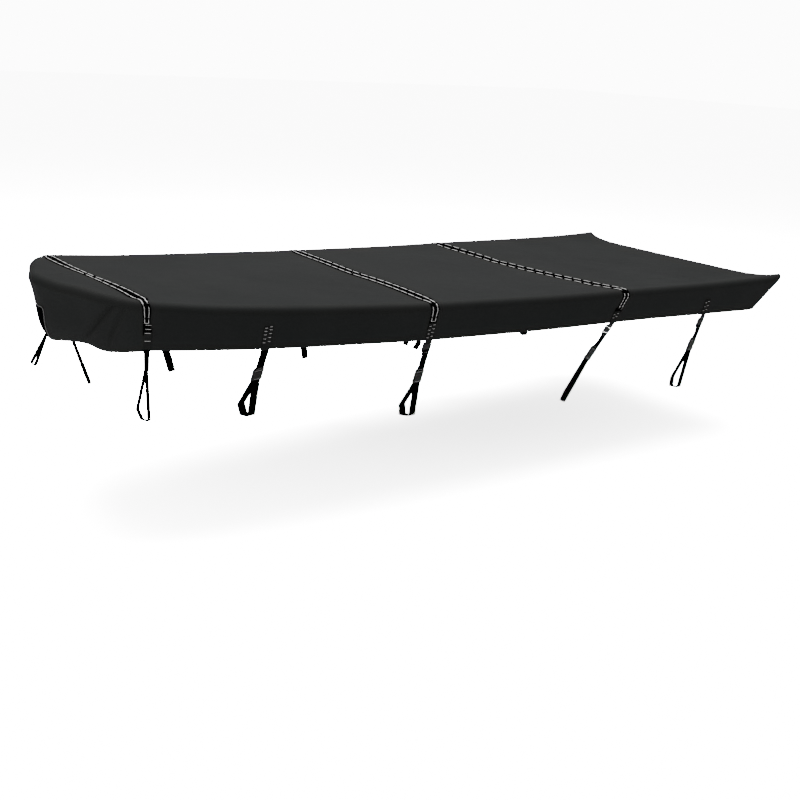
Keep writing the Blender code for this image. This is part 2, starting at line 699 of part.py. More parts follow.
def combine(name, body, added, removed, shade):
    """Join and cut blocks with Booleans, and return the finished mesh."""
    for operation, tools in (("UNION", added), ("DIFFERENCE", removed)):
        for tool in tools:
            step = body.modifiers.new(operation.lower(), "BOOLEAN")
            step.operation = operation
            step.solver = "EXACT"
            step.object = tool
    view = bpy.context.evaluated_depsgraph_get()
    mesh = bpy.data.meshes.new_from_object(body.evaluated_get(view))
    mesh.name = name
    mesh.transform(body.matrix_world)
    mesh.materials.clear()
    mesh.materials.append(shade)
    for item in [body] + added + removed:
        bpy.data.objects.remove(item)
    return mesh


def slot_cutter(start, group):
    return block("slot", (SLOT_LENGTH, SLOT, CUT_THROUGH), (0.0, start + SLOT / 2.0, 0.0), group)


def adjuster_mesh(shade, group):
    """A plate with a slot and a bar at each end, and a thicker middle."""
    middle = ADJUSTER_LENGTH / 2.0
    plate = block("plate", (FITTING_WIDTH, ADJUSTER_LENGTH, BAR), (0.0, middle, 0.0), group)
    body_length = ADJUSTER_LENGTH - 2.0 * (BAR + SLOT)
    body_width = FITTING_WIDTH - 2.0 * BODY_INSET
    body = block("body", (body_width, body_length, ADJUSTER_BODY), (0.0, middle, 0.0), group,
                 EDGE_BREAK)
    slots = [slot_cutter(BAR, group), slot_cutter(ADJUSTER_LENGTH - BAR - SLOT, group)]
    return combine("adjuster", plate, [body], slots, shade)


def head_mesh(shade, group):
    """The buckle's upper half: a bar, a slot, a thick shoulder and the tongue below it."""
    plate_end = BAR + SLOT + OVERLAP
    plate = block("plate", (FITTING_WIDTH, plate_end, BAR), (0.0, plate_end / 2.0, 0.0), group)
    shoulder_start = BAR + SLOT
    shoulder = block("shoulder", (FITTING_WIDTH, HEAD_LENGTH - shoulder_start, HEAD_THICKNESS),
                     (0.0, (shoulder_start + HEAD_LENGTH) / 2.0, 0.0), group, EDGE_BREAK)
    tongue = block("tongue", (TONGUE_WIDTH, TONGUE_LENGTH + OVERLAP, TONGUE_THICKNESS),
                   (0.0, HEAD_LENGTH + (TONGUE_LENGTH - OVERLAP) / 2.0, 0.0), group)
    return combine("buckle_head", plate, [shoulder, tongue], [slot_cutter(BAR, group)], shade)


def socket_mesh(shade, group):
    """The buckle's lower half: a pocket for the tongue, then a slot and a bar."""
    top = HEAD_LENGTH + POCKET_CLEARANCE
    bottom = top + SOCKET_LENGTH
    body_end = bottom - BAR - SLOT
    body = block("body", (FITTING_WIDTH, body_end - top, SOCKET_THICKNESS),
                 (0.0, (top + body_end) / 2.0, 0.0), group, EDGE_BREAK)
    plate_length = BAR + SLOT + OVERLAP
    plate = block("plate", (FITTING_WIDTH, plate_length, BAR),
                  (0.0, bottom - plate_length / 2.0, 0.0), group)
    deep = TONGUE_LENGTH + POCKET_CLEARANCE
    pocket = block("pocket", (TONGUE_WIDTH + 2.0 * POCKET_CLEARANCE, 2.0 * deep,
                              TONGUE_THICKNESS + 2.0 * POCKET_CLEARANCE),
                   (0.0, top, 0.0), group)
    cutters = [pocket, slot_cutter(body_end, group)]
    for side in (-1.0, 1.0):
        cutters.append(block("grip", (2.0 * GRIP_DEPTH, GRIP_LENGTH, CUT_THROUGH),
                             (side * FITTING_WIDTH / 2.0, (top + body_end) / 2.0, 0.0), group))
    return combine("buckle_socket", body, [plate], cutters, shade)


def place(name, mesh, frame, down, group):
    """Put a copy of a fitting on a strap, its upper edge at a distance down from the hem."""
    item = bpy.data.objects.new(name, mesh)
    group.objects.link(item)
    item.matrix_world = frame @ Matrix.Translation((0.0, down, 0.0))


# --- the whole cover -----------------------------------------------------------------------------
def main():
    for item in list(bpy.data.objects):
        bpy.data.objects.remove(item)
    group = collection(OBJECT_NAME)
    tools = collection("cutters")
    shades = {
        "cloth": material("cloth", (0.042, 0.045, 0.046), 0.62),
        "patch": material("patch", (0.010, 0.010, 0.011), 0.55),
        "webbing": material("webbing", (0.006, 0.006, 0.007), 0.70),
        "plastic": material("plastic", (0.030, 0.030, 0.031), 0.45),
    }
    build_top(shades["cloth"], group)
    build_side("port_side_panel", -1.0, shades["cloth"], group)
    build_side("starboard_side_panel", 1.0, shades["cloth"], group)
    build_stern(shades["cloth"], group)
    build_patch(shades["patch"], group)
    build_bow_strap(shades["webbing"], group)
    for row in table(BAND_COLUMNS, BANDS):
        build_band(row, shades["webbing"], group)
    fittings = {
        "adjuster": adjuster_mesh(shades["plastic"], tools),
        "head": head_mesh(shades["plastic"], tools),
        "socket": socket_mesh(shades["plastic"], tools),
    }
    for row in table(TIE_COLUMNS, TIES):
        for side in (-1.0, 1.0):
            build_tie(row, side, fittings, shades, group)


main()
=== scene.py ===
"""Studio view of a fitted boat cover: fine cloth, webbing, stitching and fittings.

Metres, in the frame of the CAD model: +X towards the stern, +Y to starboard, +Z up. The tables and
the surface below repeat those of the part's source, so that each piece lies where its solid lies.
"""
import math

import bmesh
import bpy
from mathutils import Matrix, Vector, noise


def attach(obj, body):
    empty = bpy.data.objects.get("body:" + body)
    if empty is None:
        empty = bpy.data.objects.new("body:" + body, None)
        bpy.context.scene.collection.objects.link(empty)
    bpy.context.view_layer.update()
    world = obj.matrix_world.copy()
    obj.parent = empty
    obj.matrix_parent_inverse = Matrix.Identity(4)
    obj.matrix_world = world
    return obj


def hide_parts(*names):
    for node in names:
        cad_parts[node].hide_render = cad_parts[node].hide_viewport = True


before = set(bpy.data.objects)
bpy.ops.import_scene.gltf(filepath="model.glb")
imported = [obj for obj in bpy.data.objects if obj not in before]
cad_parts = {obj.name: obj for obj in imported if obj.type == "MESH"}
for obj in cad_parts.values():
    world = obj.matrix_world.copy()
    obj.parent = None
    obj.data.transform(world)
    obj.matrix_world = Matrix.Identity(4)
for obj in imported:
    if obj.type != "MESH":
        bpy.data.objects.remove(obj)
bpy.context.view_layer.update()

# --- sizes shared with the part ---
CLOTH = 0.0016              # cloth as shown; its solid is a little thicker
SEAM_GAP = 0.0013
LAY_GAP = 0.0005
EDGE_RADIUS = 0.038
STERN_RAKE = 1.086
RAKE_RUN = 0.20

WEBBING = 0.0018
FOLD_BACK = 0.030

SECTION_COLUMNS = ("edge_x", "edge_y", "edge_z", "mid_x", "mid_z", "hem_x", "hem_y", "hem_z",
                   "rise", "belly")
SECTIONS = (
    (-2.455, 0.000, 0.163, -2.300, 0.157, -2.362, 0.000, -0.187, 2.0, 0.021),
    (-2.434, 0.110, 0.157, -2.285, 0.155, -2.352, 0.095, -0.171, 2.0, 0.020),
    (-2.402, 0.205, 0.152, -2.265, 0.153, -2.326, 0.190, -0.155, 2.0, 0.017),
    (-2.364, 0.310, 0.153, -2.240, 0.151, -2.290, 0.290, -0.146, 2.0, 0.013),
    (-2.322, 0.430, 0.149, -2.212, 0.148, -2.246, 0.405, -0.160, 2.0, 0.009),
    (-2.262, 0.545, 0.142, -2.182, 0.142, -2.203, 0.512, -0.146, 2.0, 0.006),
    (-2.205, 0.618, 0.135, -2.155, 0.134, -2.160, 0.580, -0.132, 2.0, 0.004),
    (-2.135, 0.668, 0.129, -2.128, 0.125, -2.105, 0.628, -0.121, 2.0, 0.003),
    (-2.000, 0.702, 0.115, -2.000, 0.108, -1.985, 0.667, -0.125, 2.0, 0.002),
    (-1.785, 0.738, 0.094, -1.785, 0.088, -1.775, 0.706, -0.137, 2.0, 0.000),
    (-1.533, 0.776, 0.076, -1.533, 0.070, -1.525, 0.745, -0.149, 2.0, 0.000),
    (-1.072, 0.825, 0.050, -1.072, 0.046, -1.066, 0.795, -0.168, 2.0, 0.000),
    (-0.554, 0.861, 0.025, -0.554, 0.023, -0.550, 0.831, -0.189, 2.0, 0.000),
    (0.000, 0.885, 0.007, 0.000, 0.002, 0.000, 0.855, -0.204, 2.0, 0.000),
    (0.350, 0.901, -0.003, 0.350, -0.012, 0.350, 0.871, -0.211, 2.0, 0.000),
    (0.911, 0.921, -0.011, 0.911, -0.038, 0.908, 0.890, -0.217, 2.0, 0.000),
    (1.300, 0.931, -0.018, 1.300, -0.050, 1.290, 0.900, -0.225, 2.5, 0.000),
    (1.716, 0.940, -0.025, 1.716, -0.059, 1.686, 0.909, -0.237, 3.5, 0.000),
    (2.077, 0.946, -0.027, 2.077, -0.063, 2.000, 0.914, -0.246, 5.0, 0.000),
    (2.300, 0.949, -0.024, 2.300, -0.061, 2.137, 0.917, -0.250, 7.0, 0.000),
    (2.480, 0.950, -0.017, 2.480, -0.056, 2.227, 0.918, -0.250, 8.0, 0.000),
)
BELLY_PEAK = 0.75 ** 3 * 0.25                   # greatest value of share ** 3 * (1 - share)
CREASE_COLUMNS = ("start_run", "start_depth", "end_run", "end_depth", "depth", "width")
CREASES = (                 # narrower and deeper than in the solid, so that their shade shows
    (0.610, -0.05, 0.300, 0.98, 0.0150, 0.014),
    (0.664, -0.05, 0.500, 0.95, 0.0110, 0.013),
)
CREASE_FADE_IN = 0.08       # shares of a crease's length over which it starts and dies out
CREASE_FADE_OUT = 0.35

BAND_COLUMNS = ("name", "port_x", "starboard_x", "drift", "lift", "width", "edge_width",
                "tail_width", "port_bow", "starboard_bow", "lines_end", "top_row", "top_dash",
                "side_dash")
BANDS = (                   # a dash is its length, the pitch of its row and its width
    ("band_bow", -2.131, -2.170, 0.014, 0.0012, 0.086, 0.036, 0.030, 0.025, -0.010,
     0.295, 0.31, (0.078, 0.083, 0.0060), (0.060, 0.062, 0.0030)),
    ("band_mid", -0.531, -0.424, -0.010, 0.0009, 0.100, 0.054, 0.048, 0.022, 0.000,
     0.36, 0.28, (0.078, 0.084, 0.0068), (0.060, 0.062, 0.0046)),
    ("band_aft", 0.928, 0.826, -0.066, 0.0009, 0.112, 0.058, 0.048, 0.018, 0.000,
     0.52, 0.37, (0.066, 0.083, 0.0076), (0.017, 0.020, 0.0062)),
)
BAND_TAIL = 0.60
BAND_STEP = 0.0028          # a tab comes down by this below the end of its band
BAND_STEP_SHARE = 0.08
BAND_NARROWS = 0.88
BAND_TAPER = 0.20

TIE_COLUMNS = ("name", "lift", "width", "hem_x", "starboard_shift", "tab_start", "drift", "rail_x",
               "rail_y", "rail_z", "splay", "adjuster_at", "buckle_at", "gap", "faced_from",
               "faced_to", "bars")
TIES = (                    # bars and faced parts are shares down the skirt; 2.0 is past the hem
    ("bow", 0.0034, 0.030, -2.115, -0.010, 0.42, 0.006, -2.020, 0.400, -0.566, -0.040, 0.0, 0.0,
     0.0, 0.50, 0.94, (0.345, 0.444, 0.543, 0.742)),
    ("fore", LAY_GAP, 0.048, -1.527, 0.000, 0.34, -0.012, -1.473, 0.500, -0.589, -0.038, 0.0, 0.158,
     0.12, 0.34, 1.01, (0.36, 0.450, 0.555, 0.672, 0.788)),
    ("mid", 0.0034, 0.048, -0.541, 0.107, 0.42, -0.010, -0.515, 0.680, -0.679, -0.045, 0.016, 0.205,
     0.10, 0.42, 2.0, (0.495, 0.626, 0.753, 0.882)),
    ("aft", 0.0034, 0.048, 0.862, -0.102, 0.42, -0.042, 0.640, 0.770, -0.738, 0.080, 0.026, 0.185,
     0.08, 0.53, 2.0, (0.659, 0.776)),
    ("stern", LAY_GAP, 0.048, 1.717, 0.000, 0.40, -0.012, 1.700, 0.800, -0.775, -0.020, 0.033,
     0.183, 0.10, 0.40, 2.0, (0.511, 0.671, 0.832)),
)
RAIL_WIDTH = 0.050
RAIL_HEIGHT = 0.065
RAIL_CORNER = 0.004
BOW_TAB_LENGTH = 0.150
BOW_TAB_END = 0.026
BOW_LOOP_WIDTH = 0.020
BOW_HEAD_RADIUS = 0.003
SPLAY_START = 0.012
AIM_INSET = 0.012
HEM_CLEAR = 0.004

BAR = 0.006
BAR_WRAP = 0.0046
SLOT = 0.006
SLOT_SHOWN = 0.0040         # narrower than in the solid, which leaves play round the webbing
SLOT_LENGTH = 0.051
FITTING_HALF = 0.031        # half the width of a buckle or an adjuster
RIDGE_HALF = 0.0011
RIDGE_RISE = 0.0008
ADJUSTER_LENGTH = 0.056
ADJUSTER_BODY = 0.010
ADJUSTER_ROOM = 0.02        # a tab is sewn above its adjuster if it hangs lower than this
HEAD_LENGTH = 0.034
HEAD_THICKNESS = 0.012
SOCKET_LENGTH = 0.066
SOCKET_THICKNESS = 0.014
POCKET_CLEARANCE = 0.0004

PATCH_TOP = 0.40
PATCH_BOTTOM = 0.985
PATCH_NARROWING = 1.3
PATCH_HALF_TOP = 0.060
PATCH_HALF_BOTTOM = 0.022
PATCH_CORNER = 0.8
PATCH_CORNER_SHARE = 0.16   # share of the patch's length over which its top corners are cut
PIPING = 0.0022             # its radius
BOW_STRAP_WIDTH = 0.040
BOW_STRAP_REACH = 0.160
BOW_STRAP_END_RADIUS = 0.011
BOW_STRAP_DIRECTION = (-0.510, 0.0, -0.860)
BOW_STRAP_RETURN = 0.014
BOW_STRAP_SHARES = (0.70, 0.73, 0.76, 0.79, 0.82, 0.86, 0.90)
BOW_STRAP_LIFT = 0.0036
BOW_STRAP_BARS = (0.74, 0.84)

UP = Vector((0.0, 0.0, 1.0))
STARBOARD = Vector((0.0, 1.0, 0.0))
PORT = Vector((0.0, -1.0, 0.0))
AFT = Vector((1.0, 0.0, 0.0))

# --- camera and light ---
CAMERA_AT = (-4.2555, -5.5142, 1.3502)
CAMERA_RIGHT = (0.80678, -0.58841, 0.05373)
CAMERA_UP = (0.13707, 0.27484, 0.95167)
CAMERA_FORWARD = (0.57474, 0.76042, -0.30239)
LENS = 50.0
SENSOR = 36.0
FLOOR_Z = -1.10
OVERHEAD = 800.0
BOW_SIDE = 54.0
SKY = 0.26
EXPOSED = 46.0              # how much brighter the camera sees the floor and the sky

# --- weave ---
RIB_PITCH = 0.0032
TWILL_PITCH = 0.0024
DULL_IOR = 1.02             # next to no gloss, for near black cloth

# --- fineness ---
BOW_RUN = 0.95
BOW_STEP = 0.008
SIDE_STEP = 0.035
TOP_COUNT = 36
SKIRT_COUNT = 24
HEM_SHARE = 0.93            # the hem's double cloth starts here
HEM_RISE = 0.0012
HEM_COUNT = 8
STERN_COUNT = 16
TUCK = 0.0004               # how far a side's upper edge is tucked under the top
SLOPE_STEP = 0.002
STEM_FADE = 0.35            # the sides' slack dies out towards the stem
STEM_WELD = 0.0002
EDGE_FADE = 0.9             # the top's slack dies out from this share of its half width
EDGE_CROWDING = 1.25        # sets the top's lines closer together near its edge
HEM_RAMP = 0.015
SKIRT_TILT = 99.0           # degrees from level: the skirt leans in below the edge

# --- stitching ---
SIDE_ROW = 0.27             # place of a row down the side, as a share of the band's width
TOP_ROW_START = 0.010
TURN_TILT = 0.8             # radians: the rows of the top go on until the band has turned this far
SHORTEST_DASH = 0.3         # the last dash of a row may be cut to this share
DASH_HEIGHT = 0.0012
BAR_WIDTH = 0.0030          # a bar of thread across a tie
BAR_HEIGHT = 0.0013
BAR_END = 0.6               # how thick it still is at its ends
BAR_REACH = 0.42            # how far it goes to each side, as a share of the width
BAR_SLANT = 0.02            # how much further down its aft half lies, as a share of the skirt
DOT_WIDTH = 0.0024


def table(columns, rows):
    return [dict(zip(columns, row)) for row in rows]


def smoothstep(share):
    share = min(max(share, 0.0), 1.0)
    return share * share * (3.0 - 2.0 * share)


def lerp(start, end, share):
    return start + (end - start) * share


def spread(start, end, count):
    """count + 1 values from start to end."""
    return [lerp(start, end, index / count) for index in range(count + 1)]


class Profile:
    """The cover's outer surface, as smooth columns over the distance run along its edge."""

    def __init__(self, rows):
        mirrored = dict(rows[1], edge_y=-rows[1]["edge_y"], hem_y=-rows[1]["hem_y"])
        self.rows = [mirrored] + rows
        self.run = [0.0]
        for before, after in zip(rows, rows[1:]):
            self.run.append(self.run[-1] + math.hypot(after["edge_x"] - before["edge_x"],
                                                      after["edge_y"] - before["edge_y"]))
        self.run = [-self.run[1]] + self.run
        self.length = self.run[-1]
        self.slopes = {column: [self.slope(column, index) for index in range(len(self.rows))]
                       for column in SECTION_COLUMNS}

    def slope(self, column, index):
        if index == len(self.rows) - 1:
            rise = self.rows[index][column] - self.rows[index - 1][column]
            return rise / (self.run[index] - self.run[index - 1])
        if index == 0:
            return 0.0
        before = self.run[index] - self.run[index - 1]
        after = self.run[index + 1] - self.run[index]
        back = (self.rows[index][column] - self.rows[index - 1][column]) / before
        ahead = (self.rows[index + 1][column] - self.rows[index][column]) / after
        return (back * after + ahead * before) / (before + after)

    def value(self, column, run):
        index = 1
        while index < len(self.rows) - 2 and self.run[index + 1] < run:
            index += 1
        span = self.run[index + 1] - self.run[index]
        share = (run - self.run[index]) / span
        start, end = self.rows[index][column], self.rows[index + 1][column]
        first = self.slopes[column][index] * span
        second = self.slopes[column][index + 1] * span
        square, cube = share ** 2, share ** 3
        return ((2 * cube - 3 * square + 1) * start + (cube - 2 * square + share) * first
                + (3 * square - 2 * cube) * end + (cube - square) * second)

    def spot(self, line, run):
        """Point of the edge or of the hem."""
        return Vector([self.value(f"{line}_{axis}", run) for axis in "xyz"])

    def outward(self, run):
        before, after = run - SLOPE_STEP, run + SLOPE_STEP
        along = Vector((self.value("edge_x", after) - self.value("edge_x", before),
                        self.value("edge_y", after) - self.value("edge_y", before), 0.0))
        along.normalize()
        return Vector((-along.y, along.x, 0.0))

    def rake(self, run):
        return STERN_RAKE * smoothstep((run - self.length + RAKE_RUN) / RAKE_RUN)

    def raked(self, point, run):
        point.x += self.rake(run) * (point.z - self.value("edge_z", run))
        return point

    def top(self, run, share):
        corner = Vector((self.value("edge_x", run), self.value("edge_y", run), 0.0))
        rim = corner - self.outward(run) * EDGE_RADIUS
        middle = self.value("mid_z", run)
        height = self.value("edge_z", run) - middle
        point = Vector((lerp(self.value("mid_x", run), rim.x, share), rim.y * share,
                        middle + height * share ** self.value("rise", run)))
        return self.raked(point, run)

    def arc(self, run, degrees):
        turn = math.radians(degrees)
        outward = self.outward(run)
        point = self.spot("edge", run)
        point += outward * EDGE_RADIUS * (math.sin(turn) - 1.0)
        point.z += EDGE_RADIUS * (math.cos(turn) - 1.0)
        return self.raked(point, run)

    def skirt(self, run, share):
        seam = self.arc(run, 90.0)
        hem = self.spot("hem", run)
        swell = self.value("belly", run) * share ** 3 * (1.0 - share) / BELLY_PEAK
        return lerp(seam, hem, share) + self.outward(run) * (swell - crease(run, share))


def crease(run, depth):
    sunk = 0.0
    for row in table(CREASE_COLUMNS, CREASES):
        share = (depth - row["start_depth"]) / (row["end_depth"] - row["start_depth"])
        if not 0.0 < share < 1.0:
            continue
        across = (run - lerp(row["start_run"], row["end_run"], share)) / row["width"]
        strength = smoothstep(share / CREASE_FADE_IN) * smoothstep((1.0 - share) / CREASE_FADE_OUT)
        sunk += row["depth"] * strength * math.exp(-across * across)
    return sunk


PROFILE = Profile(table(SECTION_COLUMNS, SECTIONS))
RUNS = (spread(0.0, BOW_RUN, round(BOW_RUN / BOW_STEP))
        + spread(BOW_RUN, PROFILE.length, round((PROFILE.length - BOW_RUN) / SIDE_STEP))[1:])


def flip(points, side):
    return [Vector((point.x, point.y * side, point.z)) for point in points]


# --- materials ---
class Nodes:
    """A short way to write a material's node tree."""

    def __init__(self, name):
        self.material = bpy.data.materials.new(name)
        self.material.use_nodes = True
        self.tree = self.material.node_tree
        self.shader = self.tree.nodes["Principled BSDF"]
        self.place = self.node("ShaderNodeTexCoord").outputs["Object"]

    def node(self, kind, values=None, **settings):
        made = self.tree.nodes.new(kind)
        for name, value in settings.items():
            setattr(made, name, value)
        for name, value in (values or {}).items():
            self.feed(made.inputs[name], value)
        return made

    def feed(self, socket, value):
        """Link an input to another node, or give it a value."""
        if isinstance(value, bpy.types.NodeSocket):
            self.tree.links.new(value, socket)
        else:
            socket.default_value = value

    def uv(self):
        spot = self.node("ShaderNodeUVMap").outputs[0]
        return self.node("ShaderNodeSeparateXYZ", {0: spot}).outputs

    def maths(self, operation, first, second=0.5):
        return self.node("ShaderNodeMath", {0: first, 1: second}, operation=operation).outputs[0]

    def mix(self, factor, first, second):
        made = self.node("ShaderNodeMix", {0: factor, 6: first, 7: second}, data_type="RGBA")
        return made.outputs[2]

    def scaled(self, colour, factor):
        made = self.node("ShaderNodeVectorMath", {0: colour, "Scale": factor}, operation="SCALE")
        return made.outputs[0]

    def noise(self, scale, detail=3.0, roughness=0.55):
        made = self.node("ShaderNodeTexNoise", {"Vector": self.place, "Scale": scale,
                                                "Detail": detail, "Roughness": roughness})
        return made.outputs["Fac"]

    def spread(self, value, low, high, new_low, new_high):
        made = self.node("ShaderNodeMapRange", {"Value": value, "From Min": low, "From Max": high,
                                                "To Min": new_low, "To Max": new_high})
        return made.outputs["Result"]

    def varied(self, scale, low, high, detail=3.0, roughness=0.55):
        """A value that wanders between two limits over the surface."""
        return self.spread(self.noise(scale, detail, roughness), 0.3, 0.7, low, high)

    def bump(self, height, strength, distance, normal=None):
        values = {"Height": height, "Strength": strength, "Distance": distance}
        if normal is not None:
            values["Normal"] = normal
        return self.node("ShaderNodeBump", values).outputs["Normal"]

    def set(self, **values):
        for name, value in values.items():
            self.feed(self.shader.inputs[name.replace("_", " ")], value)


def weave_height(nodes, u, v, pitch):
    """Height of a plain weave with a thread pitch in metres."""
    first = nodes.maths("SINE", nodes.maths("MULTIPLY", u, math.pi / pitch))
    second = nodes.maths("SINE", nodes.maths("MULTIPLY", v, math.pi / pitch))
    return nodes.maths("MULTIPLY", first, second)


def grey(value):
    return (value, value, value, 1.0)


def cloth_material(name, dark, light, roughness, pitch=0.0011, ior=1.5):
    """Coated woven polyester, with a fine weave, soft tone changes and light scuffs."""
    nodes = Nodes(name)
    along, across = nodes.uv()[:2]
    colour = nodes.mix(nodes.varied(1.7, 0.0, 1.0, 4.0, 0.6), dark, light)
    normal = nodes.bump(weave_height(nodes, along, across, pitch), 0.25, 0.0003)
    nodes.set(Base_Color=nodes.scaled(colour, nodes.varied(240.0, 0.90, 1.10, 2.0)),
              Normal=nodes.bump(nodes.noise(9.0, 5.0), 0.10, 0.004, normal),
              Roughness=nodes.varied(3.1, roughness - 0.05, roughness + 0.06, 4.0),
              Specular_IOR_Level=0.02, IOR=ior)
    return nodes.material


def webbing_material(name, dark, light):
    """Ribbed webbing with a fine twill."""
    nodes = Nodes(name)
    along, across = nodes.uv()[:2]
    rib = nodes.maths("SINE", nodes.maths("MULTIPLY", across, 2.0 * math.pi / RIB_PITCH))
    slanted = nodes.maths("ADD", along, nodes.maths("ABSOLUTE", across))
    twill = nodes.maths("SINE", nodes.maths("MULTIPLY", slanted, 2.0 * math.pi / TWILL_PITCH))
    height = nodes.maths("ADD", rib, nodes.maths("MULTIPLY", twill, 0.6))
    tone = nodes.spread(nodes.noise(14.0, 4.0), 0.35, 0.7, 0.0, 1.0)
    # painted shade in the grooves and painted highlight on the crests of the weave
    lit = nodes.spread(height, -1.4, 1.6, 0.75, 1.3)
    nodes.set(Base_Color=nodes.scaled(nodes.mix(tone, dark, light), lit),
              Normal=nodes.bump(height, 0.35, 0.0004), Roughness=nodes.varied(30.0, 0.78, 0.92),
              Specular_IOR_Level=0.03, IOR=DULL_IOR)
    return nodes.material


def thread_material(name, dark, light):
    """Twisted light thread."""
    nodes = Nodes(name)
    twist = nodes.node("ShaderNodeTexWave", {"Vector": nodes.place, "Scale": 420.0,
                                             "Distortion": 1.0}, bands_direction="DIAGONAL")
    nodes.set(Base_Color=nodes.mix(nodes.noise(60.0), dark, light),
              Normal=nodes.bump(twist.outputs["Fac"], 0.4, 0.0003),
              Roughness=nodes.varied(90.0, 0.55, 0.75), Sheen_Weight=0.2, Sheen_Roughness=0.4)
    return nodes.material


def plastic_material(name, dark, light):
    """Moulded plastic with a fine grain, its convex edges painted lighter as a painted highlight.
    """
    nodes = Nodes(name)
    painted_highlight = nodes.node("ShaderNodeNewGeometry").outputs["Pointiness"]
    # painted highlight: convex edges mixed towards a lighter grey
    edge_highlight_mask = nodes.spread(painted_highlight, 0.52, 0.60, 0.0, 1.0)
    tone = nodes.mix(nodes.noise(35.0, 4.0), dark, light)
    nodes.set(Base_Color=nodes.mix(edge_highlight_mask, tone, grey(0.085)),
              Normal=nodes.bump(nodes.noise(900.0, 2.0), 0.15, 0.0003),
              Roughness=nodes.varied(60.0, 0.42, 0.56), Specular_IOR_Level=0.25)
    return nodes.material


def floor_material():
    """White paper, shown to the camera as brightly exposed, so that its bounce stays soft."""
    nodes = Nodes("floor_paper")
    paper = nodes.mix(nodes.noise(0.4), grey(0.86), grey(0.90))
    seen = nodes.node("ShaderNodeLightPath").outputs["Is Camera Ray"]
    bright = nodes.scaled(paper, nodes.spread(seen, 0.0, 1.0, 1.0, EXPOSED))
    diffuse = nodes.node("ShaderNodeBsdfDiffuse", {"Color": bright})
    nodes.tree.links.new(diffuse.outputs[0], nodes.tree.nodes["Material Output"].inputs["Surface"])
    return nodes.material


def build_shades():
    """The materials by name, each between a dark and a light tone."""
    return {
        "cloth": cloth_material("cloth_coated", (0.0252, 0.0260, 0.0258, 1.0),
                                (0.0290, 0.0299, 0.0296, 1.0), 0.62),
        "patch": cloth_material("patch_coated", (0.0010, 0.0010, 0.0011, 1.0),
                                (0.0022, 0.0022, 0.0023, 1.0), 0.8, 0.0016, DULL_IOR),
        "webbing": webbing_material("webbing_woven", (0.0012, 0.0012, 0.0013, 1.0),
                                    (0.0026, 0.0026, 0.0027, 1.0)),
        "facing": webbing_material("webbing_faced", (0.0225, 0.0232, 0.0230, 1.0),
                                   (0.0280, 0.0287, 0.0284, 1.0)),
        "thread": thread_material("thread_light", (0.80, 0.80, 0.79, 1.0), (0.92, 0.92, 0.91, 1.0)),
        "piping": thread_material("piping_grey", grey(0.16), grey(0.24)),
        "dark_thread": thread_material("thread_dark", grey(0.02), grey(0.04)),
        "plastic": plastic_material("plastic_moulded", (0.013, 0.013, 0.014, 1.0),
                                    (0.022, 0.022, 0.023, 1.0)),
        # light grey plastic for the buckles' ribs: painted highlight lines
        "painted_highlight": plastic_material("plastic_painted_highlight", grey(0.46), grey(0.60)),
    }


def studio_world():
    """An even sky, which the camera sees as brightly as the floor."""
    world = bpy.data.worlds.new("studio")
    world.use_nodes = True
    tree = world.node_tree
    path = tree.nodes.new("ShaderNodeLightPath")
    strength = tree.nodes.new("ShaderNodeMapRange")
    strength.inputs["To Min"].default_value = SKY
    strength.inputs["To Max"].default_value = SKY * EXPOSED
    tree.links.new(path.outputs["Is Camera Ray"], strength.inputs["Value"])
    sky = tree.nodes["Background"]
    sky.inputs["Color"].default_value = (1.0, 1.0, 1.0, 1.0)
    tree.links.new(strength.outputs["Result"], sky.inputs["Strength"])
    return world


# --- meshes ---
def add_object(name, data):
    """Put a new object with its mesh, curve, camera or light into the scene."""
    item = bpy.data.objects.new(name, data)
    bpy.context.scene.collection.objects.link(item)
    return item


def distances(points):
    """How far each point is from the first, along the points."""
    along = [0.0]
    for before, after in zip(points, points[1:]):
        along.append(along[-1] + (after - before).length)
    return along


def grid_object(name, lines, facing, closed=False):
    """A smooth open sheet through lines of points, with a UV map in metres.

    Its normals are turned the way facing points at the first face.
    """
    shape = bmesh.new()
    layer = shape.loops.layers.uv.new("metres")
    rows = [[shape.verts.new(point) for point in line] for line in lines]
    spots = metres(lines)
    pairs = [(index, index + 1) for index in range(len(rows) - 1)]
    if closed:
        pairs.append((len(rows) - 1, 0))
    for before, after in pairs:
        for index in range(len(rows[before]) - 1):
            corners = ((before, index), (before, index + 1), (after, index + 1), (after, index))
            face = shape.faces.new([rows[row][column] for row, column in corners])
            face.smooth = True
            for loop, (row, column) in zip(face.loops, corners):
                loop[layer].uv = spots[row][column]
    shape.faces.ensure_lookup_table()
    shape.normal_update()
    if shape.faces[0].normal.dot(facing) < 0.0:
        bmesh.ops.reverse_faces(shape, faces=shape.faces)
    return add_object(name, mesh_of(name, shape))


def mesh_of(name, shape):
    mesh = bpy.data.meshes.new(name)
    shape.to_mesh(mesh)
    shape.free()
    return mesh


def metres(lines):
    """Distances along and across a grid, from its middle column."""
    middle = len(lines[0]) // 2
    spots = []
    for distance, line in zip(distances([line[middle] for line in lines]), lines):
        across = distances(line)
        spots.append([(distance, value - across[middle]) for value in across])
    return spots


def thicken(item, thickness, offset):
    solid = item.modifiers.new("thickness", "SOLIDIFY")
    solid.thickness = thickness
    solid.offset = offset
    solid.use_even_offset = True
    normals = item.modifiers.new("normals", "WEIGHTED_NORMAL")
    normals.weight = 90


def finish_piece(item, shade, nodes=()):
    """Colour a piece, let it ride on the cover and let it stand for its CAD nodes."""
    if not item.data.materials:
        item.data.materials.append(shade)
    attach(item, "root")
    if nodes:
        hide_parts(*nodes)


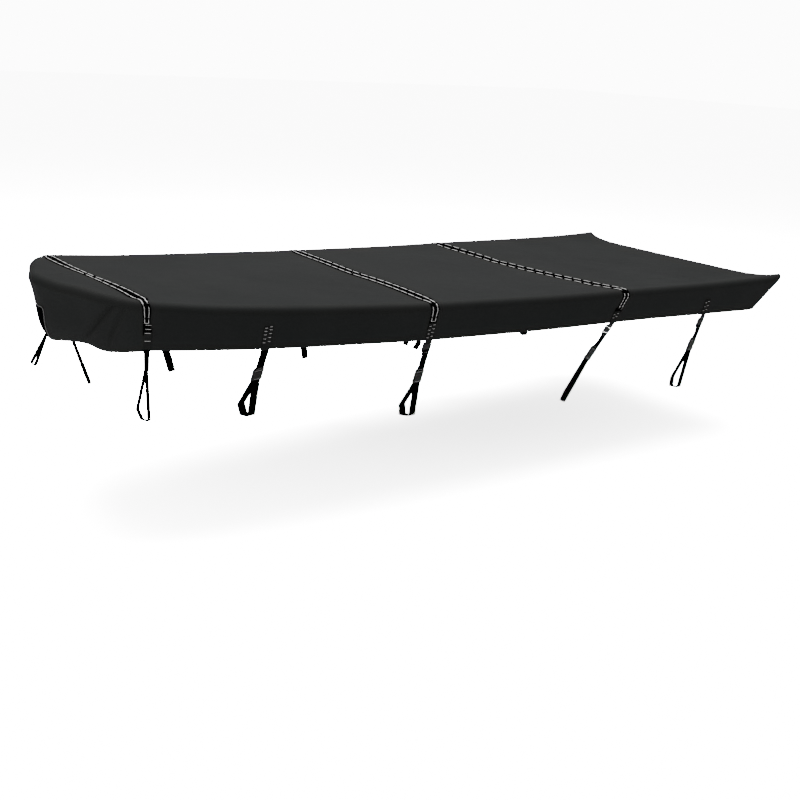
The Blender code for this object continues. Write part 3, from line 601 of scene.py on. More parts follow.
def area_of(lines):
    """Area of a grid of points, in square metres."""
    total = 0.0
    for before, after in zip(lines, lines[1:]):
        for index in range(len(before) - 1):
            total += ((after[index + 1] - before[index]).cross(after[index] - before[index + 1])
                      ).length / 2.0
    return total


def cloth_piece(item, lines, offset, shade, node):
    thicken(item, CLOTH, offset)
    finish_piece(item, shade, (node,))
    declare(lines)


def declare(lines, closed=False):
    """Work out the flat length and width of a sheet's grid and its area; nothing is kept."""
    lines = lines + [lines[0]] if closed else lines
    width = max(distances(line)[-1] for line in lines)
    length = max(distances(line)[-1] for line in zip(*lines))
    min(area_of(lines), width * length * 0.999)


def heading(points, index):
    """Direction of a line of points at one of them."""
    return (points[min(index + 1, len(points) - 1)] - points[max(index - 1, 0)]).normalized()


def skin(shape, rings):
    """Close a row of rings of corners into a solid."""
    for before, after in zip(rings, rings[1:]):
        for corner in range(len(before)):
            following = (corner + 1) % len(before)
            shape.faces.new((before[corner], before[following], after[following], after[corner]))
    shape.faces.new(rings[0])
    shape.faces.new(rings[-1])


def sweep(shape, spots, width, height, ends=0.35):
    """Add a low rounded thread along spots of points and normals, tapering at its ends."""
    section = ((-0.5, 0.0), (-0.34, 0.7), (0.0, 1.0), (0.34, 0.7), (0.5, 0.0))
    points = [point for point, _normal in spots]
    rings = []
    for index, (point, normal) in enumerate(spots):
        across = heading(points, index).cross(normal).normalized()
        end = ends if index in (0, len(points) - 1) else 1.0
        rings.append([shape.verts.new(point + across * (width * end * side)
                                      + normal * (height * end * rise)) for side, rise in section])
    skin(shape, rings)


def smooth_mesh(name, shape):
    bmesh.ops.recalc_face_normals(shape, faces=shape.faces)
    for face in shape.faces:
        face.smooth = True
    return mesh_of(name, shape)


def tube(name, points, radius, sides=8):
    """A round tube through points."""
    shape = bmesh.new()
    rings = []
    for index, point in enumerate(points):
        along = heading(points, index)
        first = along.cross(UP if abs(along.z) < 0.9 else AFT).normalized()
        second = along.cross(first)
        turns = [2.0 * math.pi * corner / sides for corner in range(sides)]
        rings.append([shape.verts.new(point + (first * math.cos(turn) + second * math.sin(turn))
                                      * radius) for turn in turns])
    skin(shape, rings)
    return add_object(name, smooth_mesh(name, shape))


# --- cloth ---
DENT_COLUMNS = ("x", "y", "length", "width", "turn", "depth")
DENTS = (                   # shallow three-cornered slacks in the top
    (0.98, 0.28, 0.16, 0.07, 20.0, 0.007),
    (0.78, -0.62, 0.15, 0.06, -25.0, 0.006),
    (-1.30, 0.10, 0.45, 0.12, 70.0, 0.003),
    (0.30, -0.25, 0.50, 0.14, 60.0, 0.003),
    (1.60, 0.30, 0.40, 0.12, -60.0, 0.003),
)
RIPPLE_COLUMNS = ("along", "across", "layer", "height")
TOP_RIPPLES = (             # how fast each ripple changes over the cloth, and its height
    (1.9, 3.1, 0.7, 0.0022),
    (6.0, 2.2, 3.1, 0.0008),
)
SKIRT_PULLS = (
    (2.4, 1.1, 5.0, 0.0030),
    (9.0, 0.8, 9.0, 0.0010),
)


def wander(ripples, along, across, side):
    """Sum of soft ripples at a place of the cloth."""
    return sum(noise.noise(Vector((along * row["along"], across * row["across"],
                                   row["layer"] * side))) * row["height"]
               for row in table(RIPPLE_COLUMNS, ripples))


def top_relief(point):
    """How far the top dips at a place, apart from its sag."""
    sunk = 0.0
    for row in table(DENT_COLUMNS, DENTS):
        turn = math.radians(row["turn"])
        dx, dy = point.x - row["x"], point.y - row["y"]
        along = (dx * math.cos(turn) + dy * math.sin(turn)) / row["length"]
        across = (dy * math.cos(turn) - dx * math.sin(turn)) / row["width"]
        sunk += row["depth"] * math.exp(-along * along - across * across)
    return wander(TOP_RIPPLES, point.x, point.y, 1.0) - sunk


def skirt_relief(run, share, side):
    """How far the skirt stands out at a place: soft pulls between the ties, and the hem."""
    hang = math.sin(math.pi * min(share, 1.0) * 0.5) ** 2
    pull = wander(SKIRT_PULLS, run, share, side)
    hem = HEM_RISE * smoothstep((share - HEM_SHARE) / HEM_RAMP)
    return pull * hang * smoothstep(run / STEM_FADE) + hem


def top_point(run, share, side=1.0):
    point = PROFILE.top(run, share)
    fade = 1.0 - smoothstep((share - EDGE_FADE) / (1.0 - EDGE_FADE))
    point.z += top_relief(Vector((point.x, point.y * side, 0.0))) * fade
    return point


def skirt_point(run, share, side=1.0):
    return PROFILE.skirt(run, share) + PROFILE.outward(run) * skirt_relief(run, share, side)


def build_top(shade):
    shares = [1.0 - (1.0 - value) ** EDGE_CROWDING for value in spread(0.0, 1.0, TOP_COUNT)]
    degrees = [12.0, 24.0, 36.0, 48.0, 60.0, 72.0, 84.0, 96.0]
    lines = []
    for run in RUNS:
        halves = []
        for side in (-1.0, 1.0):
            half = [top_point(run, share, side) for share in shares]
            half += [PROFILE.arc(run, min(value, 90.0)) for value in degrees]
            half[-1].z -= SEAM_GAP
            half[0].y = 0.0
            if run == RUNS[0]:
                for point in half:
                    point.y = 0.0
            halves.append(flip(half, side))
        lines.append(list(reversed(halves[0])) + halves[1][1:])
    item = grid_object("top_cloth", lines, UP)
    weld = item.modifiers.new("stem", "WELD")
    weld.merge_threshold = STEM_WELD
    cloth_piece(item, lines, -1.0, shade, "top_panel")


def build_side(name, node, side, shade):
    shares = spread(0.0, HEM_SHARE, SKIRT_COUNT) + spread(HEM_SHARE, 1.0, HEM_COUNT)[1:]
    lines = []
    for run in RUNS:
        line = [skirt_point(run, share, side) for share in shares]
        line[0] -= PROFILE.outward(run) * TUCK
        if run == RUNS[0]:
            for point in line:
                point.y = LAY_GAP
        lines.append(flip(line, side))
    cloth_piece(grid_object(name, lines, -AFT), lines, -1.0, shade, node)


def build_stern(shade):
    last = PROFILE.length
    upper = [PROFILE.arc(last, degrees) for degrees in (90.0, 75.0, 60.0, 45.0, 30.0, 15.0)]
    upper += [PROFILE.top(last, share) for share in reversed(spread(0.0, 1.0, 30))]
    upper += flip(reversed(upper[:-1]), -1.0)
    hem_share = PROFILE.value("hem_y", last) / PROFILE.value("edge_y", last)
    hem_z = PROFILE.value("hem_z", last)
    edge_x = PROFILE.value("edge_x", last)
    edge_z = PROFILE.value("edge_z", last)
    lines = []
    for point in upper:
        hem = Vector((0.0, point.y * hem_share, hem_z))
        line = [lerp(point, hem, share) for share in spread(0.0, 1.0, STERN_COUNT)]
        for index, spot in enumerate(line):
            ripple = noise.noise(Vector((spot.y * 3.0, index * 0.08, 7.0))) * 0.003
            fade = math.sin(math.pi * index / STERN_COUNT)
            spot.x = edge_x + STERN_RAKE * (spot.z - edge_z) + SEAM_GAP + ripple * fade
        lines.append(line)
    item = grid_object("stern_cloth", lines, AFT)
    cloth_piece(item, lines, 1.0, shade, "stern_panel")


def bow_point(run, share, lift):
    side = math.copysign(1.0, run)
    point = skirt_point(abs(run), share, side) + PROFILE.outward(abs(run)) * lift
    return flip([point], side)[0]


def patch_reach(down):
    reach = lerp(PATCH_HALF_TOP, PATCH_HALF_BOTTOM, down ** PATCH_NARROWING)
    corner = max(1.0 - down / PATCH_CORNER_SHARE, 0.0)
    return reach * (1.0 - (1.0 - PATCH_CORNER) * corner ** 2.2)


def build_patch(shade, light):
    lines = []
    for down in spread(0.0, 1.0, 36):
        share = lerp(PATCH_TOP, PATCH_BOTTOM, down)
        reach = patch_reach(down)
        lines.append([bow_point(run, share, LAY_GAP) for run in spread(-reach, reach, 24)])
    cloth_piece(grid_object("patch_cloth", lines, -AFT), lines, 1.0, shade, "bow_patch")
    lift = LAY_GAP + CLOTH
    sides = [[bow_point(side * patch_reach(down), lerp(PATCH_TOP, PATCH_BOTTOM, down), lift)
              for down in spread(0.0, 1.0, 30)] for side in (-1.0, 1.0)]
    edge = list(reversed(sides[0]))
    edge += [bow_point(run, PATCH_TOP, lift)
             for run in spread(-patch_reach(0.0), patch_reach(0.0), 16)[1:-1]]
    edge += sides[1]
    piping = tube("patch_piping", edge, PIPING)
    finish_piece(piping, light)


# --- webbing ---
def run_at(point_at, want_x):
    """Distance along the edge where a column of the surface has an x."""
    index = 1
    while PROFILE.rows[index + 1]["edge_x"] < want_x and index < len(PROFILE.rows) - 2:
        index += 1
    before, after = PROFILE.rows[index]["edge_x"], PROFILE.rows[index + 1]["edge_x"]
    run = lerp(PROFILE.run[index], PROFILE.run[index + 1], (want_x - before) / (after - before))
    for _step in range(8):
        error = point_at(run).x - want_x
        if abs(error) < 1e-6:
            break
        slope = (point_at(run + SLOPE_STEP).x - point_at(run - SLOPE_STEP).x) / (2.0 * SLOPE_STEP)
        run -= error / slope
    return run


class Station:
    """One line across a webbing on the cover: its surface column, its middle and its width."""

    def __init__(self, point_at, tilt, centre_x, width, side, lift, down=0.0):
        self.point_at = point_at
        self.down = down
        self.tilt = tilt
        self.centre_x = centre_x
        self.width = width
        self.side = side
        self.lift = lift

    def at(self, share, lift=0.0):
        """Point and normal at a share of the width, from -0.5 to 0.5."""
        want = self.centre_x + self.side * self.width * share
        run = run_at(self.point_at, want)
        outward = PROFILE.outward(run)
        normal = (outward * math.sin(self.tilt) + UP * math.cos(self.tilt)).normalized()
        point = self.point_at(run) + normal * (self.lift + lift)
        return flip([point, normal], self.side)

    def line(self, count):
        return [self.at(share)[0] for share in spread(-0.5, 0.5, count)]


def top_station(share, centre_x, width, side, lift):
    return Station(lambda run: top_point(run, share, side), 0.0, centre_x, width, side, lift)


def arc_station(degrees, centre_x, width, side, lift):
    return Station(lambda run: PROFILE.arc(run, degrees), math.radians(degrees), centre_x, width,
                   side, lift)


def skirt_station(share, centre_x, width, side, lift):
    return Station(lambda run: skirt_point(run, share, side), math.radians(SKIRT_TILT), centre_x,
                   width, side, lift, share)


def band_width(row, share, down=0.0):
    """Width of a band: full over the top, narrower at the turn and a little more below it."""
    narrowed = smoothstep((share - BAND_NARROWS) / (1.0 - BAND_NARROWS))
    width = lerp(row["width"], row["edge_width"], narrowed)
    return lerp(width, row["tail_width"], smoothstep(down / BAND_TAPER))


def band_stations(row, side):
    edge_x = row["starboard_x"] if side > 0.0 else row["port_x"]
    bow = row["starboard_bow"] if side > 0.0 else row["port_bow"]
    middle_x = (row["port_x"] + row["starboard_x"]) / 2.0
    lift = row["lift"]
    made = []
    for share in spread(0.0, 1.0, 30):
        centre_x = lerp(middle_x, edge_x, share) + bow * math.sin(math.pi * share)
        made.append(top_station(share, centre_x, band_width(row, share), side, lift))
    for degrees in (15.0, 30.0, 45.0, 60.0, 75.0):
        made.append(arc_station(degrees, edge_x, row["edge_width"], side, lift))
    for share in spread(0.0, BAND_TAIL, 20):
        centre_x = edge_x + row["drift"] * share
        made.append(skirt_station(share, centre_x, band_width(row, 1.0, share), side, lift))
    return made


def dashes(shape, path, length, pitch, width, start=0.0):
    """Add a row of dashes along a path of points and normals, from its start."""
    along = distances([point for point, _normal in path])
    end = along[-1]

    def at(distance):
        index = 0
        while index < len(along) - 2 and along[index + 1] < distance:
            index += 1
        share = (distance - along[index]) / max(along[index + 1] - along[index], 1e-9)
        return (lerp(path[index][0], path[index + 1][0], share),
                lerp(path[index][1], path[index + 1][1], share).normalized())

    place = start
    while place < end - SHORTEST_DASH * length:
        spots = [at(min(place + length * share, end)) for share in spread(0.0, 1.0, 6)]
        sweep(shape, spots, width, DASH_HEIGHT)
        place += pitch


def build_band(row, shades):
    port, starboard = band_stations(row, -1.0), band_stations(row, 1.0)
    stations = list(reversed(port[1:])) + starboard
    lines = []
    for station in stations:
        line = station.line(8)
        lines.append(line if station.side > 0.0 else list(reversed(line)))
    webbing_piece(row["name"], lines, PORT, shades)
    shape = bmesh.new()
    for edge in (-1.0, 1.0):
        for half in (port, starboard):
            side = edge * half[0].side
            turn = next(index for index, station in enumerate(half) if station.tilt > TURN_TILT)
            last = last_sewn(row, half)
            path = [station.at(side * row["top_row"], WEBBING) for station in half[:turn + 1]]
            dashes(shape, path, *row["top_dash"], start=TOP_ROW_START)
            path = [station.at(side * SIDE_ROW, WEBBING) for station in half[turn:last + 1]]
            dashes(shape, path, *row["side_dash"])
    for half in (port, starboard):
        station = half[last_sewn(row, half)]
        spots = [station.at(share, WEBBING) for share in spread(-SIDE_ROW, SIDE_ROW, 6)]
        sweep(shape, spots, BAR_WIDTH, DASH_HEIGHT)
    thread_piece(row["name"] + "_stitching", shape, shades["thread"])


def last_sewn(row, stations):
    """Index of the station where the two rows of a band's side end."""
    return next(index for index, station in enumerate(stations) if station.down >= row["lines_end"])


def strap_frame(start, target, across):
    down = (target - start).normalized()
    across = (across - down * across.dot(down)).normalized()
    outward = across.cross(down)
    made = Matrix((across, down, outward)).transposed().to_4x4()
    made.translation = start - outward * BAR_WRAP
    return made


def round_bar(bar_at, radius, end_at, steps=14):
    rise = radius - LAY_GAP
    reach = math.hypot(bar_at - end_at, rise)
    lean = math.degrees(math.asin(radius / reach) + math.atan2(rise, bar_at - end_at))
    path = []
    for value in spread(0.0, math.radians(180.0 + lean), steps):
        path.append((bar_at + radius * math.sin(value),
                     BAR_WRAP - radius + radius * math.cos(value)))
    path.append((end_at, BAR_WRAP - LAY_GAP))
    return path


def fold_round(bar_at, back=FOLD_BACK):
    landing = bar_at - max(back / 2.0, 1.5 * BAR_WRAP)
    return round_bar(bar_at, BAR_WRAP, landing) + [(bar_at - back, BAR_WRAP - LAY_GAP)]


def free_lines(place, path, width, count=6):
    return [[place @ Vector((width * share, down, outward)) for share in spread(-0.5, 0.5, count)]
            for down, outward in path]


def straight(start, end, outward=BAR_WRAP, step=0.012):
    count = max(round((end - start) / step), 1)
    return [(down, outward) for down in spread(start, end, count)]


def hull(points):
    points = sorted(set(points))
    halves = []
    for ordered in (points, list(reversed(points))):
        chain = []
        for point in ordered:
            while len(chain) > 1 and turn_of(chain[-2], chain[-1], point) <= 1e-12:
                chain.pop()
            chain.append(point)
        halves += chain[:-1]
    return halves


def turn_of(first, second, third):
    return ((second[0] - first[0]) * (third[1] - first[1])
            - (second[1] - first[1]) * (third[0] - first[0]))


def loop_path(place, rail, head, head_radius, steps=20):
    circles = [(head, head_radius)]
    inverse = place.inverted()
    for inward in (RAIL_CORNER, RAIL_WIDTH - RAIL_CORNER):
        for height in (RAIL_CORNER, RAIL_HEIGHT - RAIL_CORNER):
            corner = inverse @ (rail + Vector((0.0, -math.copysign(inward, rail.y), height)))
            circles.append(((corner.y, corner.z), RAIL_CORNER))
    points = []
    for centre, radius in circles:
        for index in range(steps):
            turn = 2.0 * math.pi * index / steps
            points.append((centre[0] + radius * math.cos(turn),
                           centre[1] + radius * math.sin(turn)))
    return hull(points)


def leans_of(path, splay):
    """Sideways shift of each point of a loop: none at its head, splay at its inner leg's foot."""
    start = min(down for down, _out in path) + SPLAY_START
    foot = max(down for down, _out in path)
    inner = min(out for _down, out in path)
    outer = max(out for _down, out in path)
    return [splay * max(down - start, 0.0) / (foot - start) * (outer - out) / (outer - inner)
            for down, out in path]


def refined(lines, step=0.025):
    """Add lines between those of a closed loop, so that none is far from the next."""
    made = []
    for before, after in zip(lines, lines[1:] + lines[:1]):
        count = max(round((after[0] - before[0]).length / step), 1)
        for index in range(count):
            made.append([lerp(first, second, index / count)
                         for first, second in zip(before, after)])
    return made


def webbing_piece(node, lines, facing, shades, closed=False, faced=()):
    """A piece of webbing; faced tells for each of its first lines if cloth faces it there."""
    item = grid_object(node + "_webbing", lines, facing, closed)
    item.data.materials.append(shades["webbing"])
    if any(faced):
        item.data.materials.append(shades["facing"])
        across = len(lines[0]) - 1
        for index, covered in enumerate(faced[:-1]):
            for face in item.data.polygons[index * across:(index + 1) * across]:
                face.material_index = 1 if covered else 0
    thicken(item, WEBBING, 1.0)
    finish_piece(item, None, (node,))
    declare(lines, closed)


def thread_piece(name, shape, shade):
    finish_piece(add_object(name, smooth_mesh(name, shape)), shade)


def dotted(shape, centre, across, normal, width, count=5):
    """Add a row of short stitches across a webbing."""
    pitch = width / count
    for index in range(count):
        middle = centre + across * (pitch * (index - (count - 1) / 2.0))
        spots = [(middle + across * (pitch * 0.6 * share), normal) for share in (-0.5, 0.0, 0.5)]
        sweep(shape, spots, DOT_WIDTH, BAR_HEIGHT, BAR_END)


def tab_marks(shape, row, station):
    """The bars that sew a tab on: whole, or each in two halves, the aft one a bit lower."""
    for share in row["bars"]:
        spans = [(-BAR_REACH, BAR_REACH, 0.0)]
        if row["gap"]:
            spans = [(-BAR_REACH, -row["gap"], -BAR_SLANT), (row["gap"], BAR_REACH, BAR_SLANT)]
        for first, last, slant in spans:
            spots = [station(share + slant).at(value, WEBBING) for value in spread(first, last, 5)]
            sweep(shape, spots, BAR_WIDTH, BAR_HEIGHT, BAR_END)


class Tie:
    """One tie-down: its line on the skirt, its frame below the hem and its stitching."""

    def __init__(self, row, side, shades):
        self.row = row
        self.side = side
        self.shades = shades
        shift = row["starboard_shift"] if side > 0.0 else 0.0
        self.hem_x = row["hem_x"] + shift
        self.rail = Vector((row["rail_x"] + shift, side * row["rail_y"], row["rail_z"]))
        self.shares = spread(row["tab_start"], 1.0, 24)
        self.on_skirt = [self.station(share).line(6) for share in self.shares]
        hem = self.on_skirt[-1]
        start = (hem[0] + hem[-1]) / 2.0
        aim = self.rail + Vector((0.0, -side * AIM_INSET, RAIL_HEIGHT))
        self.place = strap_frame(start, aim, Vector((side, 0.0, 0.0)))
        self.outward = self.place.to_3x3() @ UP
        self.across = self.place.to_3x3() @ AFT
        lean = abs((hem[-1] - hem[0]).normalized().dot((aim - start).normalized()))
        self.clear = HEM_CLEAR + row["width"] / 2.0 * lean
        self.thread = bmesh.new()
        tab_marks(self.thread, row, self.station)

    def station(self, share):
        row = self.row
        lower = max(LAY_GAP, row["lift"] - BAND_STEP)
        lift = lerp(row["lift"], lower, smoothstep((share - BAND_TAIL) / BAND_STEP_SHARE))
        if share < row["tab_start"]:
            lift = LAY_GAP
        centre_x = self.hem_x + row["drift"] * (share - 1.0)
        return skirt_station(share, centre_x, row["width"], self.side, lift)

    def named(self, piece):
        end = "starboard" if self.side > 0.0 else "port"
        return f"{piece}_{self.row['name']}_{end}"

    def stitched(self, down, share=0.8):
        dotted(self.thread, self.place @ Vector((0.0, down, BAR_WRAP + WEBBING)), self.across,
               self.outward, self.row["width"] * share)

    def build_tab(self, free):
        """The tab, from the lines of its free part below the hem."""
        row = self.row
        faced = [row["faced_from"] <= share <= row["faced_to"] for share in self.shares]
        faced += [row["faced_to"] > 1.5] * len(free)
        webbing_piece(self.named("tab"), self.on_skirt + free, self.outward, self.shades,
                      faced=faced)

    def build_strap(self, last_bar, upper_bar):
        """The short strap from the adjuster's last bar to the buckle."""
        head_fold = [(last_bar + upper_bar - down, out)
                     for down, out in reversed(fold_round(upper_bar))]
        path = head_fold + straight(last_bar, upper_bar)[1:-1] + fold_round(upper_bar)
        webbing_piece(self.named("strap"), free_lines(self.place, path, self.row["width"]),
                      -self.outward, self.shades)
        self.stitched(last_bar + 0.012, 0.4)

    def build_loop(self, head, head_radius, width):
        """The loop round the rail, from a round head at a place below the hem."""
        path = loop_path(self.place, self.rail, head, head_radius)
        leans = leans_of(path, self.side * self.row["splay"])
        lines = [[point + self.across * lean for point in line]
                 for line, lean in zip(free_lines(self.place, path, width), leans)]
        middle = sum((line[0] + line[-1] for line in lines), Vector()) / (2.0 * len(lines))
        first = (lines[0][0] + lines[1][-1]) / 2.0
        webbing_piece(self.named("loop"), refined(lines), first - middle, self.shades, closed=True)

    def build_sewn(self):
        """A tie without a buckle: its tab narrows down to its loop."""
        free = []
        for down in spread(self.clear, BOW_TAB_LENGTH, 10):
            share = (down - self.clear) / (BOW_TAB_LENGTH - self.clear)
            width = lerp(self.row["width"], BOW_TAB_END, share)
            free += free_lines(self.place, [(down, BAR_WRAP)], width)
        self.build_tab(free)
        head = (BOW_TAB_LENGTH + LAY_GAP, BAR_WRAP - LAY_GAP - WEBBING - BOW_HEAD_RADIUS)
        self.build_loop(head, BOW_HEAD_RADIUS, BOW_LOOP_WIDTH)

    def build_buckled(self, fittings):
        """A tie with a buckle, and between its tab and its strap an adjuster if it has one."""
        adjuster_at, buckle_at = self.row["adjuster_at"], self.row["buckle_at"]
        first_bar = upper_bar = buckle_at + BAR / 2.0
        if adjuster_at:
            first_bar = adjuster_at + BAR / 2.0
            self.fit("adjuster", fittings, adjuster_at)
            self.build_strap(adjuster_at + ADJUSTER_LENGTH - BAR / 2.0, upper_bar)
            if adjuster_at > ADJUSTER_ROOM:
                self.stitched(adjuster_at - 0.008)
        back = min(FOLD_BACK, first_bar - self.clear - LAY_GAP)
        path = straight(self.clear, first_bar)[:-1] + fold_round(first_bar, back)
        self.build_tab(free_lines(self.place, path, self.row["width"]))
        self.fit("buckle_head", fittings, buckle_at)
        self.fit("buckle_socket", fittings, buckle_at)
        self.stitched(buckle_at - 0.004)
        lower_bar = buckle_at + HEAD_LENGTH + POCKET_CLEARANCE + SOCKET_LENGTH - BAR / 2.0
        self.build_loop((lower_bar, 0.0), BAR_WRAP, self.row["width"])

    def fit(self, kind, fittings, down):
        """Put a copy of a fitting on the strap. The move goes into the mesh, not the object."""
        copy = fittings[kind].copy()
        copy.transform(self.place @ Matrix.Translation((0.0, down, 0.0)))
        copy.materials.append(self.shades["plastic"])
        # the second material is the light grey of the painted highlight lines
        copy.materials.append(self.shades["painted_highlight"])
        item = add_object(self.named(kind) + "_moulding", copy)
        edges = item.modifiers.new("edges", "EDGE_SPLIT")
        edges.split_angle = math.radians(40.0)
        finish_piece(item, None, (self.named(kind),))


def build_tie(row, side, fittings, shades):
    tie = Tie(row, side, shades)
    if row["buckle_at"]:
        tie.build_buckled(fittings)
    else:
        tie.build_sewn()
    thread_piece(tie.named("tie") + "_stitching", tie.thread, shades["thread"])


def build_bow_strap(shades):
    lines = [[bow_point(run, share, BOW_STRAP_LIFT)
              for run in spread(-BOW_STRAP_WIDTH / 2.0, BOW_STRAP_WIDTH / 2.0, 6)]
             for share in BOW_STRAP_SHARES]
    start = (lines[-1][0] + lines[-1][-1]) / 2.0
    place = strap_frame(start, start + Vector(BOW_STRAP_DIRECTION), STARBOARD)
    path = straight(HEM_CLEAR, BOW_STRAP_REACH)[:-1]
    path += round_bar(BOW_STRAP_REACH, BOW_STRAP_END_RADIUS, BOW_STRAP_RETURN)
    lines += free_lines(place, path, BOW_STRAP_WIDTH)
    webbing_piece("bow_strap", lines, -AFT, shades)
    thread = bmesh.new()
    for share in BOW_STRAP_BARS:
        spots = [(bow_point(run, share, BOW_STRAP_LIFT + WEBBING), -AFT)
                 for run in (-0.015, -0.008, 1e-6, 0.008, 0.015)]
        sweep(thread, spots, DOT_WIDTH, BAR_HEIGHT, BAR_END)
    thread_piece("bow_strap_stitching", thread, shades["dark_thread"])


# --- fittings ---
def outline_mesh(outline, thickness, bevel, holes=()):
    """A plate with rounded edges, from closed outlines in the across and down plane."""
    curve = bpy.data.curves.new("outline", "CURVE")
    curve.dimensions = "2D"
    curve.fill_mode = "BOTH"
    curve.extrude = thickness / 2.0 - bevel
    curve.bevel_depth = bevel
    curve.bevel_resolution = 2
    curve.offset = -bevel
    for loop in (outline, *holes):
        spline = curve.splines.new("POLY")
        spline.points.add(len(loop) - 1)
        spline.use_cyclic_u = True
        for point, (x, y) in zip(spline.points, loop):
            point.co = (x, y, 0.0, 1.0)
    holder = add_object("outline", curve)
    view = bpy.context.evaluated_depsgraph_get()
    mesh = bpy.data.meshes.new_from_object(holder.evaluated_get(view))
    bpy.data.objects.remove(holder)
    return mesh


def rounded(half, first, last, radius, steps=5):
    """Outline of a rectangle with round corners, anticlockwise, to half its width each side."""
    inner = half - radius
    corners = ((inner, last - radius), (-inner, last - radius),
               (-inner, first + radius), (inner, first + radius))
    points = []
    for index, (x, y) in enumerate(corners):
        for degrees in spread(90.0 * index, 90.0 * index + 90.0, steps):
            turn = math.radians(degrees)
            points.append((x + radius * math.cos(turn), y + radius * math.sin(turn)))
    return points


def mirrored(points):
    return [(-x, y) for x, y in reversed(points)]


def join_meshes(name, meshes, painted_highlight=()):
    """Join meshes into one; the last ones take the second, much lighter material, a painted
    highlight.
    """
    shape = bmesh.new()
    for mesh in meshes + list(painted_highlight):
        for face in mesh.polygons:
            face.material_index = 1 if mesh in painted_highlight else 0
        shape.from_mesh(mesh)
        bpy.data.meshes.remove(mesh)
    bmesh.ops.remove_doubles(shape, verts=shape.verts, dist=1e-6)
    return smooth_mesh(name, shape)


def bar_plate(first, last, slots):
    """The flat part of a fitting, with a slot for the webbing from each of some places down."""
    holes = [rounded(SLOT_LENGTH / 2.0, at, at + SLOT_SHOWN, 0.001) for at in slots]
    return outline_mesh(rounded(FITTING_HALF, first, last, 0.004), BAR, 0.0012, holes)


def ridges(count, first, last, half, top):
    """Finger ridges across a fitting, rounded, standing to a height."""
    return [outline_mesh(rounded(half, down - RIDGE_HALF, down + RIDGE_HALF, 0.001), 2.0 * top,
                         0.0006)
            for down in spread(first, last, count - 1)]


def rib(down, dip, half, height, thick=0.0022):
    """A raised rib across a fitting, which dips in its middle."""
    upper = [(half * share, down + dip * (1.0 - share * share)) for share in spread(-1.0, 1.0, 12)]
    lower = [(x, y + thick) for x, y in reversed(upper)]
    return outline_mesh(upper + lower, 2.0 * height, 0.0005)


def adjuster_mesh():
    near, far = BAR + SLOT_SHOWN, ADJUSTER_LENGTH - BAR - SLOT_SHOWN
    plate = bar_plate(0.0, ADJUSTER_LENGTH, (BAR, far))
    body = outline_mesh(rounded(FITTING_HALF - 0.002, near, far, 0.003), ADJUSTER_BODY, 0.0016)
    grips = ridges(5, BAR + SLOT + 0.006, ADJUSTER_LENGTH - BAR - SLOT - 0.006,
                   FITTING_HALF - 0.008, ADJUSTER_BODY / 2.0 + RIDGE_RISE)
    return join_meshes("adjuster", [plate, body] + grips)


def head_mesh():
    near, top = BAR + SLOT_SHOWN, HEAD_THICKNESS / 2.0
    plate = bar_plate(0.0, HEAD_LENGTH - 0.004, (BAR,))
    shoulder = outline_mesh(rounded(FITTING_HALF, near, HEAD_LENGTH, 0.003), HEAD_THICKNESS, 0.0018)
    grips = ridges(3, near + 0.006, HEAD_LENGTH - 0.006, FITTING_HALF - 0.009, top + RIDGE_RISE)
    # a rib in the light material: a painted highlight line across the head
    rim = rib(near + 0.0015, 0.0, FITTING_HALF - 0.004, top + 0.0009)
    return join_meshes("buckle_head", [plate, shoulder] + grips, [rim])


def latch(side, top):
    """One latch arm, whose grip stands a little out of the socket's side."""
    half = FITTING_HALF
    outline = [(half - 0.011, top - 0.004), (half - 0.005, top - 0.004),
               (half - 0.004, top + 0.008), (half + 0.0006, top + 0.013),
               (half + 0.0012, top + 0.021), (half - 0.0004, top + 0.030),
               (half - 0.004, top + 0.035), (half - 0.011, top + 0.037)]
    return outline_mesh(mirrored(outline) if side < 0.0 else outline, 0.0076, 0.0010)


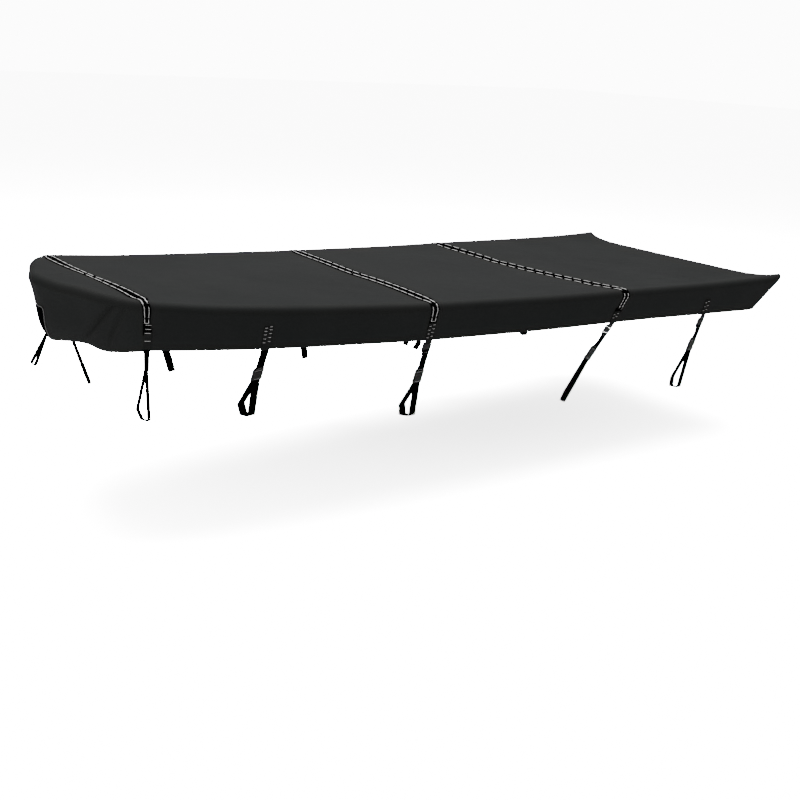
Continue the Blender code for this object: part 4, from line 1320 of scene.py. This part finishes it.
def socket_mesh():
    half = FITTING_HALF
    top = HEAD_LENGTH + POCKET_CLEARANCE
    bottom = top + SOCKET_LENGTH
    body_end = bottom - BAR - SLOT_SHOWN
    window, deep = (top + 0.012, top + 0.036), 0.0055
    right = [(half, top + 0.003), (half, window[0]), (half - deep, window[0] + 0.003),
             (half - deep, window[1] - 0.003), (half, window[1]), (half, body_end - 0.006),
             (half - 0.004, body_end)]
    outline = [(-half + 0.003, top), (half - 0.003, top)] + right + mirrored(right)
    body = outline_mesh(outline, SOCKET_THICKNESS, 0.0020)
    panel = outline_mesh(rounded(half - 0.014, top + 0.008, body_end - 0.008, 0.005),
                         SOCKET_THICKNESS + 0.0012, 0.0006)
    plate = bar_plate(body_end - 0.006, bottom, (body_end,))
    arms = [latch(side, top) for side in (-1.0, 1.0)]
    # a dipped rib in the light material: a painted highlight line across the socket
    rim = rib(top + 0.041, 0.006, half - 0.013, SOCKET_THICKNESS / 2.0 + 0.0014, 0.0026)
    return join_meshes("buckle_socket", [body, panel, plate] + arms, [rim])


# --- stage ---
def build_camera():
    data = bpy.data.cameras.new("camera")
    data.lens = LENS
    data.sensor_width = SENSOR
    data.clip_end = 200.0
    item = add_object("camera", data)
    turn = Matrix((CAMERA_RIGHT, CAMERA_UP, [-value for value in CAMERA_FORWARD])).transposed()
    item.matrix_world = Matrix.Translation(CAMERA_AT) @ turn.to_4x4()
    bpy.context.scene.camera = item


def area_light(name, place, target, size, power):
    data = bpy.data.lights.new(name, "AREA")
    data.shape = "RECTANGLE"
    data.size, data.size_y = size
    data.energy = power
    item = add_object(name, data)
    item.location = place
    item.rotation_euler = (Vector(target) - Vector(place)).to_track_quat("-Z", "Y").to_euler()


def build_stage():
    bpy.ops.mesh.primitive_plane_add(size=120.0, location=(0.0, 0.0, FLOOR_Z))
    floor = bpy.context.active_object
    floor.name = "floor"
    floor.data.materials.append(floor_material())
    area_light("overhead", (0.5, 1.5, 6.0), (0.0, 0.0, 0.0), (9.0, 6.0), OVERHEAD)
    area_light("bow_side", (-7.5, -0.8, 1.6), (-2.3, -0.3, 0.0), (2.0, 2.0), BOW_SIDE)
    bpy.context.scene.world = studio_world()


def main():
    build_camera()
    build_stage()
    shades = build_shades()
    build_top(shades["cloth"])
    build_side("port_side_cloth", "port_side_panel", -1.0, shades["cloth"])
    build_side("starboard_side_cloth", "starboard_side_panel", 1.0, shades["cloth"])
    build_stern(shades["cloth"])
    build_patch(shades["patch"], shades["piping"])
    build_bow_strap(shades)
    for row in table(BAND_COLUMNS, BANDS):
        build_band(row, shades)
    fittings = {"adjuster": adjuster_mesh(), "buckle_head": head_mesh(),
                "buckle_socket": socket_mesh()}
    for row in table(TIE_COLUMNS, TIES):
        for side in (-1.0, 1.0):
            build_tie(row, side, fittings, shades)
    for mesh in fittings.values():
        bpy.data.meshes.remove(mesh)


main()
